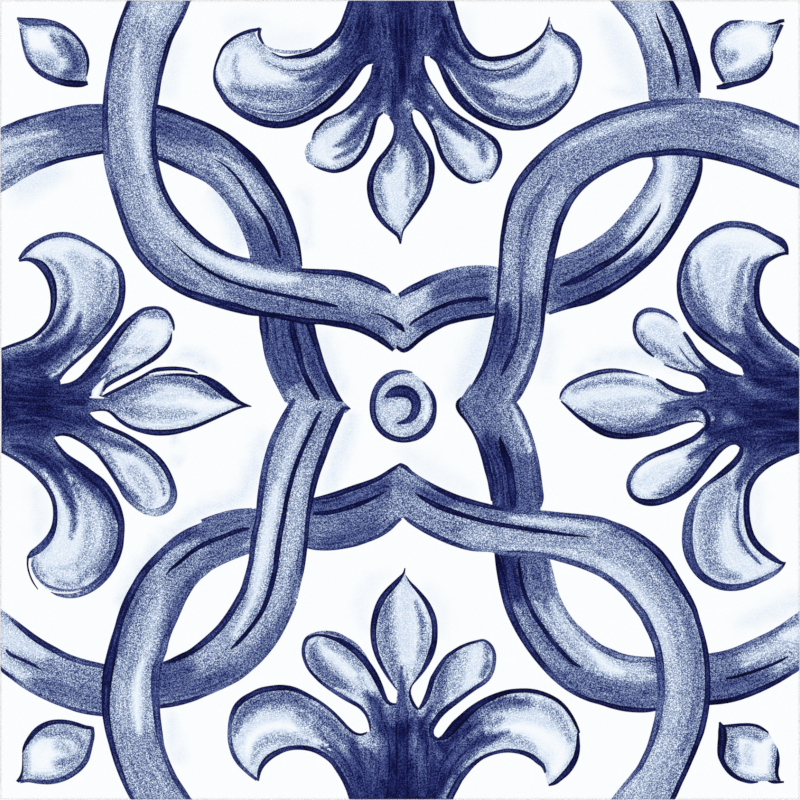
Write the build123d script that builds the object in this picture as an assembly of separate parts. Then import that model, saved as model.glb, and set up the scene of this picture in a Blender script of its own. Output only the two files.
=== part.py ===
from build123d import *
import os

# A dry-pressed, glazed porcelain tile, lying with its decorated face up.
# Origin: middle of the back, on the plane that the tile rests on.
# +Z is up through the face, +X and +Y run square to the edges.
# The tile is pressed and fired as one piece, so it is one solid. All sizes are millimetres.

# The face and the edges round it
face_side = 200.0  # work size, edge to edge
thickness = 9.0
arris_radius = 0.8  # soft edge of the face, rounded by the punch and the glaze
corner_radius = 1.2  # the four upright corners

# The pressed side: an upright band above, and a drafted band below that lets the tile leave the die
draft_band_height = 3.2
draft_inset = 0.45  # how far the drafted band has drawn in by the time it reaches the back
back_edge_radius = 0.3  # where the drafted band meets the back

# The key on the back: shallow square cells between ribs, which the adhesive grips
rim_width = 6.5  # plain rim round the cells
rib_width = 2.0
cells_each_way = 8
cell_depth = 0.7
cell_corner_radius = 2.5
cell_wall_inset = 0.5  # the cell is this much smaller on each side at its floor

back_side = face_side - 2 * draft_inset
key_side = back_side - 2 * rim_width
cell_pitch = (key_side + rib_width) / cells_each_way
cell_side = cell_pitch - rib_width


def rounded_square(side, radius, height):
    """A square with rounded corners, lying flat at the given height."""
    return Plane.XY.offset(height) * RectangleRounded(side, side, radius)


def upper_band(outline):
    """The upright part of the side, with the face on top and its soft edge."""
    block = extrude(outline, thickness - draft_band_height)
    face_edges = block.faces().sort_by(Axis.Z)[-1].edges()
    return fillet(face_edges, arris_radius)


def lower_band(outline):
    """The drafted part of the side, drawn in towards the back."""
    back_outline = rounded_square(back_side, corner_radius - draft_inset, 0)
    block = loft([back_outline, outline], ruled=True)
    back_edges = block.faces().sort_by(Axis.Z)[0].edges()
    return fillet(back_edges, back_edge_radius)


def key_cells():
    """The hollows of the key, one for each cell, with walls that slope so that the punch lifts out."""
    mouth = rounded_square(cell_side, cell_corner_radius, 0)
    floor_side = cell_side - 2 * cell_wall_inset
    floor = rounded_square(floor_side, cell_corner_radius - cell_wall_inset, cell_depth)
    cell = loft([mouth, floor], ruled=True)
    places = GridLocations(cell_pitch, cell_pitch, cells_each_way, cells_each_way)
    return [place * cell for place in places]


split_line = rounded_square(face_side, corner_radius, draft_band_height)
tile = upper_band(split_line) + lower_band(split_line) - key_cells()
tile.label = "tile"

os.makedirs("parts", exist_ok=True)
export_step(tile, "parts/tile.step")
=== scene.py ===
# A glazed porcelain tile, hand painted in cobalt: interlaced vines round four palmettes.
import math
import bpy
import numpy as np
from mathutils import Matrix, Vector
from mathutils.geometry import delaunay_2d_cdt


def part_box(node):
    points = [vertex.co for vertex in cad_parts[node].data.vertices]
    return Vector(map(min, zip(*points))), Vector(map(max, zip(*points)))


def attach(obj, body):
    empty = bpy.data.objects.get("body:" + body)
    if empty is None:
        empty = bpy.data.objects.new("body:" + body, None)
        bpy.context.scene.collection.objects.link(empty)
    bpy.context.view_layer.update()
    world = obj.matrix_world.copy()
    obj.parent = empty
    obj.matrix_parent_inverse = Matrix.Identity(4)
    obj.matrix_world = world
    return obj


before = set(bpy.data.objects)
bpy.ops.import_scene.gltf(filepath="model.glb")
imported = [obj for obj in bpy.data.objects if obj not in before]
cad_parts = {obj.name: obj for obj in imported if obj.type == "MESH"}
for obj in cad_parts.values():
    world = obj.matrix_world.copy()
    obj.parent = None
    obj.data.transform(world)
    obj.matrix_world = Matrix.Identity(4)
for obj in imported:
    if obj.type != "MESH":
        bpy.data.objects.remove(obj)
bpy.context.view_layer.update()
tileLow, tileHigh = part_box("tile")
mm = 0.001
print("tile loaded")

# The drawing, on a sheet of 800 x 800 px laid over the face, x to the right and y down.
# A tone is how much cobalt lies there, in percent. A shape is painted in this order:
# fill   its tone all over the area, which is the named lines and guides joined end to end
#        (a guide is a run of points that carries the outline on where no line is painted)
# bleed  a tone that creeps in from every line, and how many px it reaches
# washes soft strokes inside the area, a tone and points (x, y, half-width)
# lines  crisp strokes on top, a tone and points (x, y, width) or (x, y, width, tone)
# Two more may be given: weight, how heavy the shape's lines are, and flow, paths that are not
# painted but that the hair marks of the brush run along, as they do along every line.

# Thin rinses of cobalt left on the white ground
ground = {
    "area": [],
}
ground["lines"] = {}
ground["washes"] = {
    "nearUpperLobe": (5, [(228,205,16),(246,236,12)]),
    "rightOfVine": (9, [(304,192,4),(307,214,6),(306,238,6)]),
    "leftLens": (8, [(214,194,6),(230,214,8),(238,240,8)]),
    "overLeftLeaf": (8, [(176,357,4),(194,357,5),(212,366,5)]),
    "overRightLeaf": (7, [(574,372,4),(596,361,6),(622,355,8),(650,357,8),(676,366,5)]),
    "leftPetalHaze": (7, [(174,432,4),(178,450,5),(176,468,4)]),
    "besideRing": (8, [(482,332,7),(474,354,9),(464,374,9),(456,388,5)]),
    "lowHaze": (6, [(612,92,5),(634,94,5)]),
    "underTopPetal": (4, [(306,205,6),(308,238,4)]),
    "besideLeftLobe": (6, [(322,336,7),(332,366,8),(344,392,6)]),
    "underRightLobe": (7, [(486,322,10),(474,360,14),(458,392,8)]),
    "besideRightLobe": (5, [(552,334,8),(544,376,8)]),
    "rightOfTop": (6, [(604,20,8),(622,52,14),(640,92,10)]),
    "leftOfTop": (5, [(176,46,10),(168,92,8)]),
    "underLeftVine": (7, [(24,186,16),(58,172,10)]),
    "overTopPetal": (4, [(232,24,10),(258,18,8)]),
    "leftHollow": (4, [(276,40,12),(306,40,10)]),
    "besideLowLobe": (7, [(262,438,6),(254,468,9),(240,496,9),(206,508,7),(172,532,7),(140,566,6),
     (118,604,5)]),
    "insideLowLobe": (7, [(352,418,6),(345,440,9),(337,466,9),(330,488,6)]),
    "overLowLobe": (4, [(404,452,8),(440,476,10),(468,490,8)]),
    "leftOfBottom": (6, [(170,716,6),(178,756,8)]),
    "besideLowPetal": (4, [(366,628,6),(360,606,8),(368,586,8),(386,572,5)]),
    "besideLowPetalEast": (4, [(426,586,5),(440,606,7),(443,630,6)]),
    "lowLeftHollow": (5, [(36,492,8),(42,520,8),(36,538,5)]),
    "lowRightHollow": (5, [(756,488,8),(756,520,8),(766,546,6)]),
    "underRightVine": (6, [(744,622,8),(776,610,10),(800,600,10)]),
    "rightHollow": (4, [(464,14,6),(472,40,6)]),
}

# The vines. Each lobe of the interlace has two, which meet in a cusp near the middle.

leftLobeUpper = {
    "fill": 50,
    "bleed": (56, 9),
    "area": ["topWest", "topMid", "topSouth", "cusp", "footSouth", "footMid", "footWest"],
    "guides": {"cusp": [(351, 408), (346, 413), (290, 408)]},
}
leftLobeUpper["lines"] = {
    "topWest": (84, [(-4,131,4,56),(10,125.5,5,74),(22,120.5,5),(36,116,4),(50,112,3,78),(65,108.5,3,72),
     (82,105.5,3,70),(106,105,3,66)]),
    "footWest": (85, [(-4,192.6,6,46),(10,184.8,6,42),(20,178.2,6,42),(30,172.4,6,54),(38,168.3,6,74),
     (48,164.3,6.3),(60,160,6.2),(72,157.3,6),(84,155,5.8),(96,153,5.4),(107,151.6,4)]),
    "topMid": (93, [(154,105.5,5),(168,109.5,6),(179,113.5,5.5),(190,118,5.5),(202,122.7,6),(215,129,6.5),
     (228,137,7.5),(240,147,8.5),(252,158,9.5),(262,170,9.5),(271,183.5,8.5),(280,198,8),(287,212,7),
     (292,225,7),(297,240,5.5),(300,253,3.5),(301.8,266,2)]),
    "footMid": (86, [(155,156.5,5),(168,162,6),(178,166.8,6),(188,171.6,5.6,80),(199,176.6,5.6,72),
     (208,182,5,60),(217.4,190.4,4.4,56),(225.4,199.5,4.4,56),(234.4,212.5,4.5,57),(242.4,228.4,4.5,56),
     (248.4,244,4,54),(251.6,260,3,50)]),
    "midMid": (90, [(215,159.5,1),(222,163.5,2.4),(230.5,170.5,3),(238.8,180,4),(245.6,190,4.8),
     (251.4,199.5,5.4),(258,208.5,5.2),(265,219,5),(270,229,6.5),(274,239,7),(278,250,5),(280.5,258,1.5)]),
    "footSouth": (84, [(262,314,8),(264,328,10,80),(264.4,340,6.4,80),(265.8,352,5.4,76),(268.8,364,5,70),
     (274,377,5,66),(280,389,4.6,62),(286.4,402,4,56)]),
    "topSouth": (90, [(308.6,320,10),(311.5,328,9),(314,337,7.6),(317,346,7),(320,356,6.6),(323,366,7),
     (327,376,7),(331.6,386,7.4),(336.2,395,7),(341,402.5,6.8),(346,407,5.5),(350.5,409,2)]),
    "midSouth": (91, [(291,318,5),(293,332,7),(295.7,343,7.6),(298.6,353,7.6),(301,363,7),(304.3,373,7),
     (309,383,7.2),(313.8,392,7),(317.8,399,5.6),(320,405,2)]),
}
leftLobeUpper["washes"] = {
    "westBand": (68, [(34,119,6),(50,119,11),(64,121,17),(84,125,22),(106,126,24)]),
    "westEdge": (56, [(-6,131,4),(10,126,6),(26,122,8),(40,119,6)]),
    "westDeep": (62, [(66,138,12),(85,138,16),(106,138,18)]),
    "westLight": (14, [(-6,145,8),(12,141.5,5),(30,137.5,3.6),(48,133.5,2.4),(60,131,1)]),
    "westPale": (18, [(-6,164,15),(12,159,11),(26,152,7),(36,147,2)]),
    "westGrain": (44, [(8,172,4),(20,166,6),(36,156,10),(54,146,9)]),
    "midDeep": (68, [(158,122,15),(178,129,16),(196,135,13),(210,140,8)]),
    "midTop": (60, [(212,136,4),(230,147,5),(246,161,5),(259,176,4),(270,192,5),(281,214,9)]),
    "midGrain": (45, [(170,150,5),(190,153,9),(206,158,8)]),
    "midPale": (34, [(212,158,5),(228,167,8),(242,179,8),(254,192,8),(264,206,5)]),
    "midStreak": (27, [(222,157,1),(236,166,3),(249,179,3.5),(259,193,3),(266,205,1)]),
    "midLower": (63, [(194,178,4),(208,186,6),(221,196,7.5),(232,208,8),(242,222,8),(250,238,8)]),
    "midLight": (26, [(214,168,1.5),(226,180,3),(239,195,4),(250,210,4.5),(258,223,2)]),
    "midFoot": (68, [(252,232,14),(258,246,22),(275,252,30),(282,266,24)]),
    "southDeep": (73, [(280,316,24),(283,332,24),(284,348,22),(288,364,18),(293,376,12)]),
    "southRim": (62, [(272,372,8),(280,388,6)]),
    "southWest": (72, [(267,326,7),(270,346,9),(277,366,9),(287,382,8)]),
    "southPale": (42, [(296,391,6),(304,399,9),(310,408,10),(334,409,6)]),
    "southEast": (74, [(304,322,7),(307,340,8),(312,358,8),(320,378,7),(328,394,5)]),
}

upperLobeRight = {
    "fill": 42,
    "bleed": (52, 7),
    "area": ["rimNorth", "rimMid", "rimWest", "notch", "cusp", "footWest", "footMid", "footNorth"],
    "guides": {
        "notch": [(392, 296)],
        "cusp": [(392, 344)],
    },
}
upperLobeRight["lines"] = {
    "rimNorth": (64, [(609.5,-4,5),(613.5,2,5),(620.5,10,5.6),(628.5,20,6),(636,31,6.4),(641,43,7,64),
     (645,56,6.4,62),(647.8,70,5,60),(649,84,4,58),(650,100,3,60)]),
    "footNorth": (92, [(668.5,-4,4),(672.5,4,6),(677.3,13,7),(682,24,7.4),(686.3,36,7.6),(690,48,8),
     (693.5,60,9),(696.5,72,9),(698,84,7),(699.5,93,3.5)]),
    "midNorth": (94, [(655.5,12,1),(658,19,3),(661.5,28,4),(666,38,6),(670,48,7),(673,58,6.5),(675.5,68,6),
     (677.5,78,5.5),(678,88,2)]),
    "rimMid": (72, [(653.5,156,5),(655,167,5.6),(650.6,178,6,66),(645,188,5.6,54),(638.2,198,5.6,50),
     (630.6,208,5.6,50),(621.6,219,5.4,54),(611.6,229,4.4,54),(600,238,4,56),(585,247.5,4,58),
     (570,254.5,4,60),(552,261,3,62)]),
    "footMid": (91, [(701,157,4),(700.4,168,6),(697.4,180,7),(692.9,191,7.8),(687.7,201.8,8.2),
     (681.9,213.6,8.2),(676,224.6,8.4),(669.4,235.2,8.4),(661.4,246.4,8.4),(651.8,257.4,8.4),
     (641.2,267,8.6),(629.2,276.7,8.8),(616.1,285.6,9.2),(602,293.6,10),(588.4,299.6,10.2),(575,304,8),
     (562,308.5,6,84),(549,313.5,4,78)]),
    "midMid": (91, [(661,203,1),(657.6,212,3.6),(652,220.2,4.4),(646,228.6,5),(639,237.6,5.8),
     (630.8,245.6,6.4),(621.4,253.6,7),(611,261,7.2),(600,267,8),(590,273,8),(580,278.5,8),(570,282.5,7),
     (560,286,3)]),
    "rimWest": (82, [(500,268.5,2,45),(488,266.5,3,42),(475,266.5,3,42),(462,268,4,46),(450,271.5,6,64),
     (441,275,7,70),(430,279.5,8,76),(420,284.5,8),(410,289.5,8),(399,295.5,6)]),
    "footWest": (94, [(396,346,4),(400,349.3,5),(404,350.5,6),(410,347.5,6),(418,340.5,6),(427,333.5,6.5),
     (436,328.5,6),(446,323.5,6),(456,320.6,6),(466,318.4,6),(477,316.4,6.4),(489,314.8,6),(497,314,2)]),
    "midWest": (92, [(409.5,326,2),(413,322,4),(420,317.5,4),(430,311.6,5),(440,307,5.5),(450,303.2,6),
     (460,300.8,6),(470,299.4,6),(480,298.8,5.5),(488.5,299,4)]),
}
upperLobeRight["washes"] = {
    "northPale": (20, [(638,-6,14),(643,8,14),(648,22,11),(652,38,7),(655,52,4)]),
    "northMid": (36, [(642,34,5),(647,46,7),(652,58,8)]),
    "northDeep": (50, [(646,52,7),(652,66,12),(658,82,15),(664,94,15)]),
    "northEast": (42, [(672,12,4),(680,34,5),(685,56,5)]),
    "northLow": (56, [(684,58,4),(688,74,5),(690,90,7)]),
    "northStreak": (22, [(654,-4,4),(659,12,4),(664,28,3.5),(667,44,3.5),(670,62,3)]),
    "midPale": (9, [(666,160,10),(668,173,10),(664,187,10),(656,200,8),(646,212,6),(637,224,4),
     (627,237,2)]),
    "midRim": (50, [(644,198,1.5),(638,206,3),(631,215,3.6),(623,225,4.4),(613,235,5)]),
    "midStipple": (38, [(689,160,4),(687,175,4),(681,190,4.4),(674,206,4)]),
    "midWhite": (5, [(668,196,4),(664,212,7),(654,226,7),(644,238,5),(634,248,4),(622,258,3),
     (606,268,1.5)]),
    "midSoft": (25, [(674,222,4.6),(662,236,4.6),(650,248,4.4),(640,255,3)]),
    "midBand": (64, [(620,235,5),(607,246,10),(591,259,15),(574,268,19),(556,276,24)]),
    "midDeep": (70, [(640,258,7),(620,271,9),(600,281,12),(580,292,12),(562,298,13)]),
    "westPale": (22, [(404,312,15),(420,300,10),(436,290,6)]),
    "westFoot": (36, [(400,336,10),(406,330,8)]),
    "westDeep": (69, [(438,294,10),(456,286,15),(474,284,18),(492,288,20)]),
    "westLow": (72, [(422,325,7),(442,316,9),(462,309,9),(492,306,8)]),
    "westEnd": (44, [(494,272,6),(495,300,4)]),
}

rightLobeLower = {
    "fill": 60,
    "bleed": (52, 7),
    "area": ["rimWest", "rimMid", "rimEast", "footEast", "footMid", "footWest", "notch"],
    "guides": {"notch": [(470, 384), (514, 398)]},
}
rightLobeLower["lines"] = {
    "rimWest": (90, [(461.5,397.5,2),(458,401.5,4),(457.5,407,5),(460,413,4),(465.5,420,3.5),(472,430,3.5),
     (477.5,440,5),(481.5,449,7),(485,459,8),(487.5,469,8),(490,480,7),(491.5,491,6),(492,501,3)]),
    "footWest": (66, [(513,399,3),(519,408,3.2),(524.5,418.5,3.4),(529,430,3.6),(532.5,441,4.2,68),
     (535,452,5,70),(537.3,464,6,72),(539,476,6,76),(540.5,488,6,78),(541.5,498,6,84),(540.5,507,3)]),
    "midWest": (90, [(499.5,437,2),(501.5,444,6),(504,452,8),(507,460,9),(509.5,470,9),(511,480,9),
     (512.5,490,9),(513,500,8),(513,508,6)]),
    "rimMid": (89, [(495.5,551,4),(498,562,7),(500.4,573,8.6),(502.8,584,9.4),(505,595,9),
     (507.4,603.8,9,84),(510.8,613.2,9,84),(515.2,623.2,8.6),(520.6,633.4,8.4),(526.8,643.6,8),
     (533.6,653.2,8),(540.4,662,7.6),(548,671,7,82),(556,679.2,6.4,80),(565.6,687.2,6,80),
     (576.6,694,5.6,84),(588.8,699.4,5.5),(602,703,6,92),(612,706,6.5),(624,708.8,6.5),(637,710,6.5),
     (648,710,6),(658,709,4)]),
    "footMid": (50, [(545,550,3),(548.5,560,4,40),(551.5,572,4.5,38),(554,583,5,40),(557,594,5,48),
     (561.4,604.4,5.6,48),(567.2,614.6,5.6,50),(574.2,623.9,5.8,54),(582.6,632.3,6.6,56),
     (591.4,640.6,7.2,60),(601.2,647.8,7.4,62),(611.6,652.6,8,62),(621.6,656.6,8,62),(633,659,8,60),
     (645,659.5,7,62),(658,659,6,66)]),
    "midMid": (91, [(518,556,2,80),(519.5,568,4),(521,579,4.5),(523.6,590,5.4),(527.6,601,6),(533,613,6),
     (539,622.4,5.8),(545.4,631.6,5.8),(551,639.2,5.8),(556.8,646.2,5.8),(563,653,5.6),(569.2,659.4,5.2),
     (575,664,5),(581,667.5,2)]),
    "rimEast": (92, [(708,703,6),(722,701.5,6.5),(735,699,6.5),(748,694.5,7),(760,689.5,7),(772,684,6.5),
     (784,677.5,6,88),(793,672,5.5,82),(804,666,5,74)]),
    "footEast": (62, [(708,655.5,5),(722,653,5),(734,649.5,5),(746,644.5,5.5,64),(758,639,5.5,66),
     (770,633.5,6,66),(781,627,6,62),(791,620,6,52),(804,611,6,44)]),
    "midEast": (94, [(726,678.5,2),(733,677.5,3.5),(742,675,4),(752,672,4),(762,668.5,4),(772,664.5,4),
     (781,660.5,3.5),(788,656.5,1.5)]),
}
rightLobeLower["washes"] = {
    "westGrain": (46, [(502,404,8),(510,420,9),(516,436,9),(522,448,7)]),
    "westWhite": (8, [(511.5,405,1),(517.5,417,2.2),(522.5,429,2.2),(527,440,2),(530.3,450,2),
     (532,457,0.5)]),
    "westDeep": (80, [(487,438,7),(492,450,12),(497,466,16),(501,484,16),(503,506,18)]),
    "westEast": (68, [(520,462,9),(526,476,12),(529,494,14),(530,508,14)]),
    "midDeep": (83, [(504,550,12),(508,566,14),(512,582,12),(517,600,8)]),
    "midEast": (62, [(531,556,15),(534,572,12),(538,586,7)]),
    "midGrain": (49, [(516,606,4),(526,627,4.4),(538,645,5),(550,659,5),(562,669,4)]),
    "midPale": (20, [(552,602,4),(560,618,9),(571,632,11),(587,648,12),(604,662,11),(622,669,11),
     (642,671,10)]),
    "midRight": (27, [(536,602,2.5),(545,617,4),(555,632,4.5),(566,646,5),(578,658,5),(594,667,5),
     (612,673,5),(636,677,5),(654,677,4)]),
    "midWhite": (6, [(592,652,4),(606,666,6),(622,672,4)]),
    "midFoot": (62, [(552,669,4),(566,681,5),(580,688.6,6.4),(598,695,8),(620,698,9),(642,699,10),
     (660,698,10)]),
    "eastDeep": (69, [(708,688,14),(726,688,10),(748,684,8),(764,679,4)]),
    "eastGrain": (56, [(708,668,12),(724,666,10),(738,663,5)]),
    "eastPale": (20, [(746,660,8),(764,652,9),(784,644,13),(806,636,18)]),
    "eastWhite": (8, [(784,636,5),(804,630,8)]),
    "eastLow": (30, [(778,668,5),(796,658,7)]),
}

lowerLobeLeftInner = {
    "fill": 61,
    "bleed": (56, 9),
    "area": ["rimEast", "tip", "footEast", "footMid", "footWest", "rimWest", "rimMid"],
    "guides": {
        "tip": [(408, 470), (408, 516)],
        "rimMid": [(305, 498)],
        "footMid": [(305, 547)],
    },
}
lowerLobeLeftInner["lines"] = {
    "rimEast": (90, [(401,464.5,5),(392,469.5,5),(384,475,5.5),(375,480,6),(365,484,6.5),(355,487.5,7),
     (345,491,7),(335,494.5,7),(325,497,6),(313,499,3)]),
    "footEast": (80, [(401,518.5,4),(396,522.5,5),(390,528,6),(383,533.5,5),(375,538,4),(365,542,3.5),
     (355,545.5,3),(345,547.5,3),(335,549,3),(325,549.5,3),(315,549,3),(307,547.5,2)]),
    "midEast": (91, [(313,513.5,3),(322,513.3,5.5),(332,512,6),(342,509.5,6),(352,506.5,6.5),(362,503,6),
     (371,499,5),(380,494.5,3),(387,490.5,1)]),
    "rimWest": (66, [(252,509,3),(240,509.8,3),(230,511.5,3.4),(220,514.3,4),(210,518,5),(202,522,7)]),
    "footWest": (60, [(202,577,3),(211,569,4),(220,564,4),(230,559.5,4),(240,555.5,4),(249,552.5,3)]),
    "midWest": (91, [(250,528.3,2),(243,529.5,5),(232,533,6),(221,537.5,6),(211,541,6),(202,545,6.5),
     (195,549.5,6)]),
}
lowerLobeLeftInner["washes"] = {
    "eastTop": (74, [(312,505,9),(330,503,9),(350,498,9),(370,492,8),(386,484,6)]),
    "eastFoot": (70, [(330,541,8),(350,538,9),(370,532,8)]),
    "eastGrain": (55, [(308,526,7),(322,527,8),(336,524,5)]),
    "eastGrainLow": (60, [(308,537,8),(318,537,5)]),
    "eastTip": (48, [(386,514,7),(396,508,10),(406,500,14)]),
    "westLow": (60, [(250,545,9),(232,550,9),(214,558,10),(200,564,12)]),
    "westPaleEdge": (28, [(250,542,3),(244,545,2)]),
}

leftLobeLower = {
    "fill": 40,
    "bleed": (50, 6),
    "area": ["rimNorth", "footSouth", "rimSouth", "footWest", "mouth", "rimWest", "rimInner",
             "footNorth", "notch"],
    "guides": {
        "notch": [(288, 398), (344, 402)],
        "rimInner": [(150, 662)],
        "mouth": [(-4, 640)],
        "footSouth": [(296, 600)],
    },
}
leftLobeLower["lines"] = {
    "footNorth": (82, [(294.5,399,5,80),(289.5,407,6.5,78),(283,419,7.5,74),(277.8,430,8,72),
     (273.2,440,8,72),(269.8,450,8,72),(267,460,8,72),(264.7,470,8,74),(263,480,8.2,74),(261.5,490,8.2,76),
     (260,500,7.6),(259.2,510,7.4),(258,520,7.4),(255.4,530,7.4),(253.6,540,7.4),(252.3,550,7),
     (251.2,560,6.8),(249,570,6.8),(246.3,580,7.2),(243.6,590,8),(238.2,600,7.8),(232.4,610,8),
     (226,619.6,8.2,84),(218.6,629,8.4,84),(209.8,637.4,8.4,86),(199.6,645.6,7.8,90),(189.8,652.4,7,92),
     (180,657,7,93),(171,661,6,93),(163,663,3)]),
    "rimNorth": (88, [(348,407.5,2),(343.5,409,6),(339,416.5,8),(334.3,426.5,8.6),(330,437,8.6),
     (326,448,8.4),(322,459,8.4),(318,470,8),(315,480,7.8),(312.6,490,7.4),(310.6,500,6.6),(309,510,6.2),
     (307.6,520,6),(306.8,530,5.6),(306.2,540,5.6),(305,550,5.6),(303.8,560,5.5),(302.3,570,5,80),
     (300.3,580,4,62),(298,590,4,52),(296,599,4,48)]),
    "rimSouth": (66, [(296,601,3,50),(293.5,608,3,58),(288.5,619,3.5),(282.5,631,3.5),(276,642,3.5,70),
     (268.5,652,3.5,70),(260,661.5,3.5),(250,670.5,3.5),(240,678.5,3.5),(228,685,3.5),(216,690.5,3.5,70),
     (205,695,4,76),(194,699,5.5,82),(182,702.5,6,86),(170,705,6,86),(157,707,5,86)]),
    "mid": (91, [(321,411,3),(318,416,5),(314,424,5.5),(310.5,432,5.5),(306.5,440,5.5),(303,448,6),
     (299.5,456,6),(296.5,464,6),(293.5,473,6),(291,482,6),(288.8,491,6),(286.5,500,6),(285,509,6),
     (283.5,518,6.5),(281.5,528,6.5),(279.5,538,6.5),(278,548,7),(276.5,558,7),(275.6,568,6.4),
     (273.6,577,6.6),(271.2,586,6.8),(268.6,595,6.6),(265.4,604,6.4),(260.4,614,6),(254.8,622.4,5.8),
     (249,630,5.8),(243,637,5.8),(237.4,643,5),(230.5,649,2.5)]),
    "rimWest": (84, [(-4,608,5,40),(8,616.5,5,46),(16,623,6,75),(25,630.5,7,86),(34,637.5,7.5,88),
     (44,644,7.5,86),(54,649.5,7.5),(66,656,7.5,74),(78,660.5,7.5,70),(90,663.5,7,76),(106,667,6.5,80)]),
    "footWest": (72, [(-4,664.5,5,88),(4,671.5,5,84),(12,677.5,5,76),(20,683.5,5,62),(30,690,5,62),
     (42,696.5,4.5,64),(54,702,4.5,68),(66,706.5,4.5),(78,710.5,5),(90,713,5,76),(106,715,5,80)]),
    "midWest": (86, [(6,649.5,3),(10,654,5),(17,657.5,4.5),(25,661,4.5),(33,665,4),(41,669.5,1.5)]),
}
leftLobeLower["washes"] = {
    "northTip": (46, [(334,404,10),(326,420,6),(320,436,7),(315,452,6)]),
    "northGrain": (33, [(302,404,11),(295,424,9),(287,444,8),(281,464,7),(277,482,6)]),
    "northWhite": (17, [(306,418,4),(299,434,5),(292,450,5),(286,466,5),(281,480,4)]),
    "westLight": (9, [(278,484,3),(274,500,8),(270,520,9),(266,540,9),(262,560,9),(258,580,7.4),
     (253.6,597,5.6),(248,610,4.4),(242,622,4),(234,635,3.4)]),
    "westGrey": (34, [(238,612,2),(232,624,4),(223,635,5),(212,645,4)]),
    "eastGrain": (29, [(303,470,5),(298,492,7),(295,514,9),(292,536,9),(289,560,9),(285,580,8)]),
    "eastBand": (60, [(303.4,534,2.4),(301,556,4.6),(297.6,576,7),(292.6,596,8)]),
    "turnGrain": (33, [(282,590,8),(276,604,9),(267,618,10),(257,631,10),(246,643,8),(238,650,5)]),
    "turnMid": (47, [(274,632,6),(262,646,8),(247,658,8),(230,662,8)]),
    "turnEdge": (62, [(291,604,6),(284,618,8),(276,634,10),(265,648,11),(250,664,11),(234,676,12)]),
    "turnDeep": (68, [(228,678,14),(210,684,15),(190,688,16),(170,686,18),(156,684,20)]),
    "turnTop": (70, [(186,668,10),(174,672,12),(162,676,14)]),
    "turnStipple": (43, [(242,648,6),(230,653,7),(220,656,4)]),
    "westPale": (13, [(-6,630,18),(14,640,16),(34,650,10),(46,655,4)]),
    "westPaleLow": (16, [(-6,658,10),(10,667,8),(24,676,6)]),
    "westDeep": (61, [(36,684,7),(54,688,12),(72,692,12),(92,698,12),(106,700,12)]),
    "westGrain": (50, [(52,668,8),(72,674,10),(92,680,12),(108,684,12)]),
}

lowerLobeLeftOuter = {
    "fill": 43,
    "bleed": (54, 7),
    "area": ["rim", "mouth", "foot", "start"],
    "guides": {"mouth": [(138, 806), (188, 806)], "start": [(209, 571), (207, 523)]},
}
lowerLobeLeftOuter["lines"] = {
    "rim": (87, [(206,522,4,62),(198,527,7,66),(188,532.5,9,70),(177,540,10,74),(166.4,548.4,8.8,78),
     (157.2,557.4,9,82),(148.6,566.4,9),(141,576.4,9),(135,586.5,9),(129.6,596.6,9.4),(125,607,9.4),
     (121,618,9),(118,629,9),(115,640,10),(112.5,651,11,90),(110,662,11.4,92),(108,672,11.4,92),
     (106.8,682,11,92),(106,692,10.4,90),(105.7,702,9.5),(105.9,712,9),(107.2,723,8.5),(109,733,8),
     (111.5,743,7.5),(114.5,754,7.5),(118.5,766,7.5),(122.7,778,6.5),(127.7,790,5.5),(135,804,5)]),
    "foot": (74, [(208,572,3,58),(201,577,4,60),(193.5,584.5,5.5,64),(188.4,592,6,68),(183.4,600.6,6.4),
     (178.8,610.6,6.8),(174.4,620.6,6.8),(169.8,630.6,7),(166,640.6,7.6,70),(163.4,650.4,8.4,72),
     (159.5,660,9,72),(156.5,670,10),(155.2,682,10),(155.7,700,9,76),(157.2,718,8.5,78),(159.5,734,8,78),
     (162,746,6.5),(165.5,757,6.5),(170,768,6.5,76),(175.5,779,6.5,78),(182,789,6.5,80),(192,804,6,80)]),
    "mid": (92, [(166,575,1.5),(170,570,3),(176,565,4.5),(182,560,5),(189,554,5.5),(196,549,6),
     (203,545,6.5),(210,541.5,6)]),
}
lowerLobeLeftOuter["washes"] = {
    "top": (66, [(209,531,9),(195,538,6),(183,543,3)]),
    "topStreak": (35, [(198,541,1.5),(185,547,3.5),(174,556,6),(164,567,7),(155,580,8)]),
    "low": (51, [(206,557,9),(194,567,9),(183,579,9),(173,593,7),(167,606,5)]),
    "footBand": (66, [(207,566,4),(194,577,4.5),(184,589,4.5),(177,602,4.5),(172,616,5),(166,633,4.5),
     (161,650,4)]),
    "west": (42, [(152,568,5),(143,584,7),(136,602,9),(130,622,9),(127,642,9)]),
    "westBand": (64, [(148,575,2),(140,592,4),(132,610,5),(125,630,5),(121,652,5),(118,676,4),(116,700,3)]),
    "pale": (21, [(163,590,3),(158,606,5),(153,622,7),(149,640,8),(145,658,7)]),
    "streak": (6, [(144,658,2),(140,670,5),(137,685,7),(136,700,8),(137,716,7),(139,732,4)]),
    "westLow": (32, [(122,662,7),(121,684,8),(121,706,9),(124,728,8)]),
    "midLow": (32, [(148,676,4),(148,700,4),(151,724,6)]),
    "foot": (42, [(128,746,14),(138,764,20),(148,782,22),(160,806,22)]),
}

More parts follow.
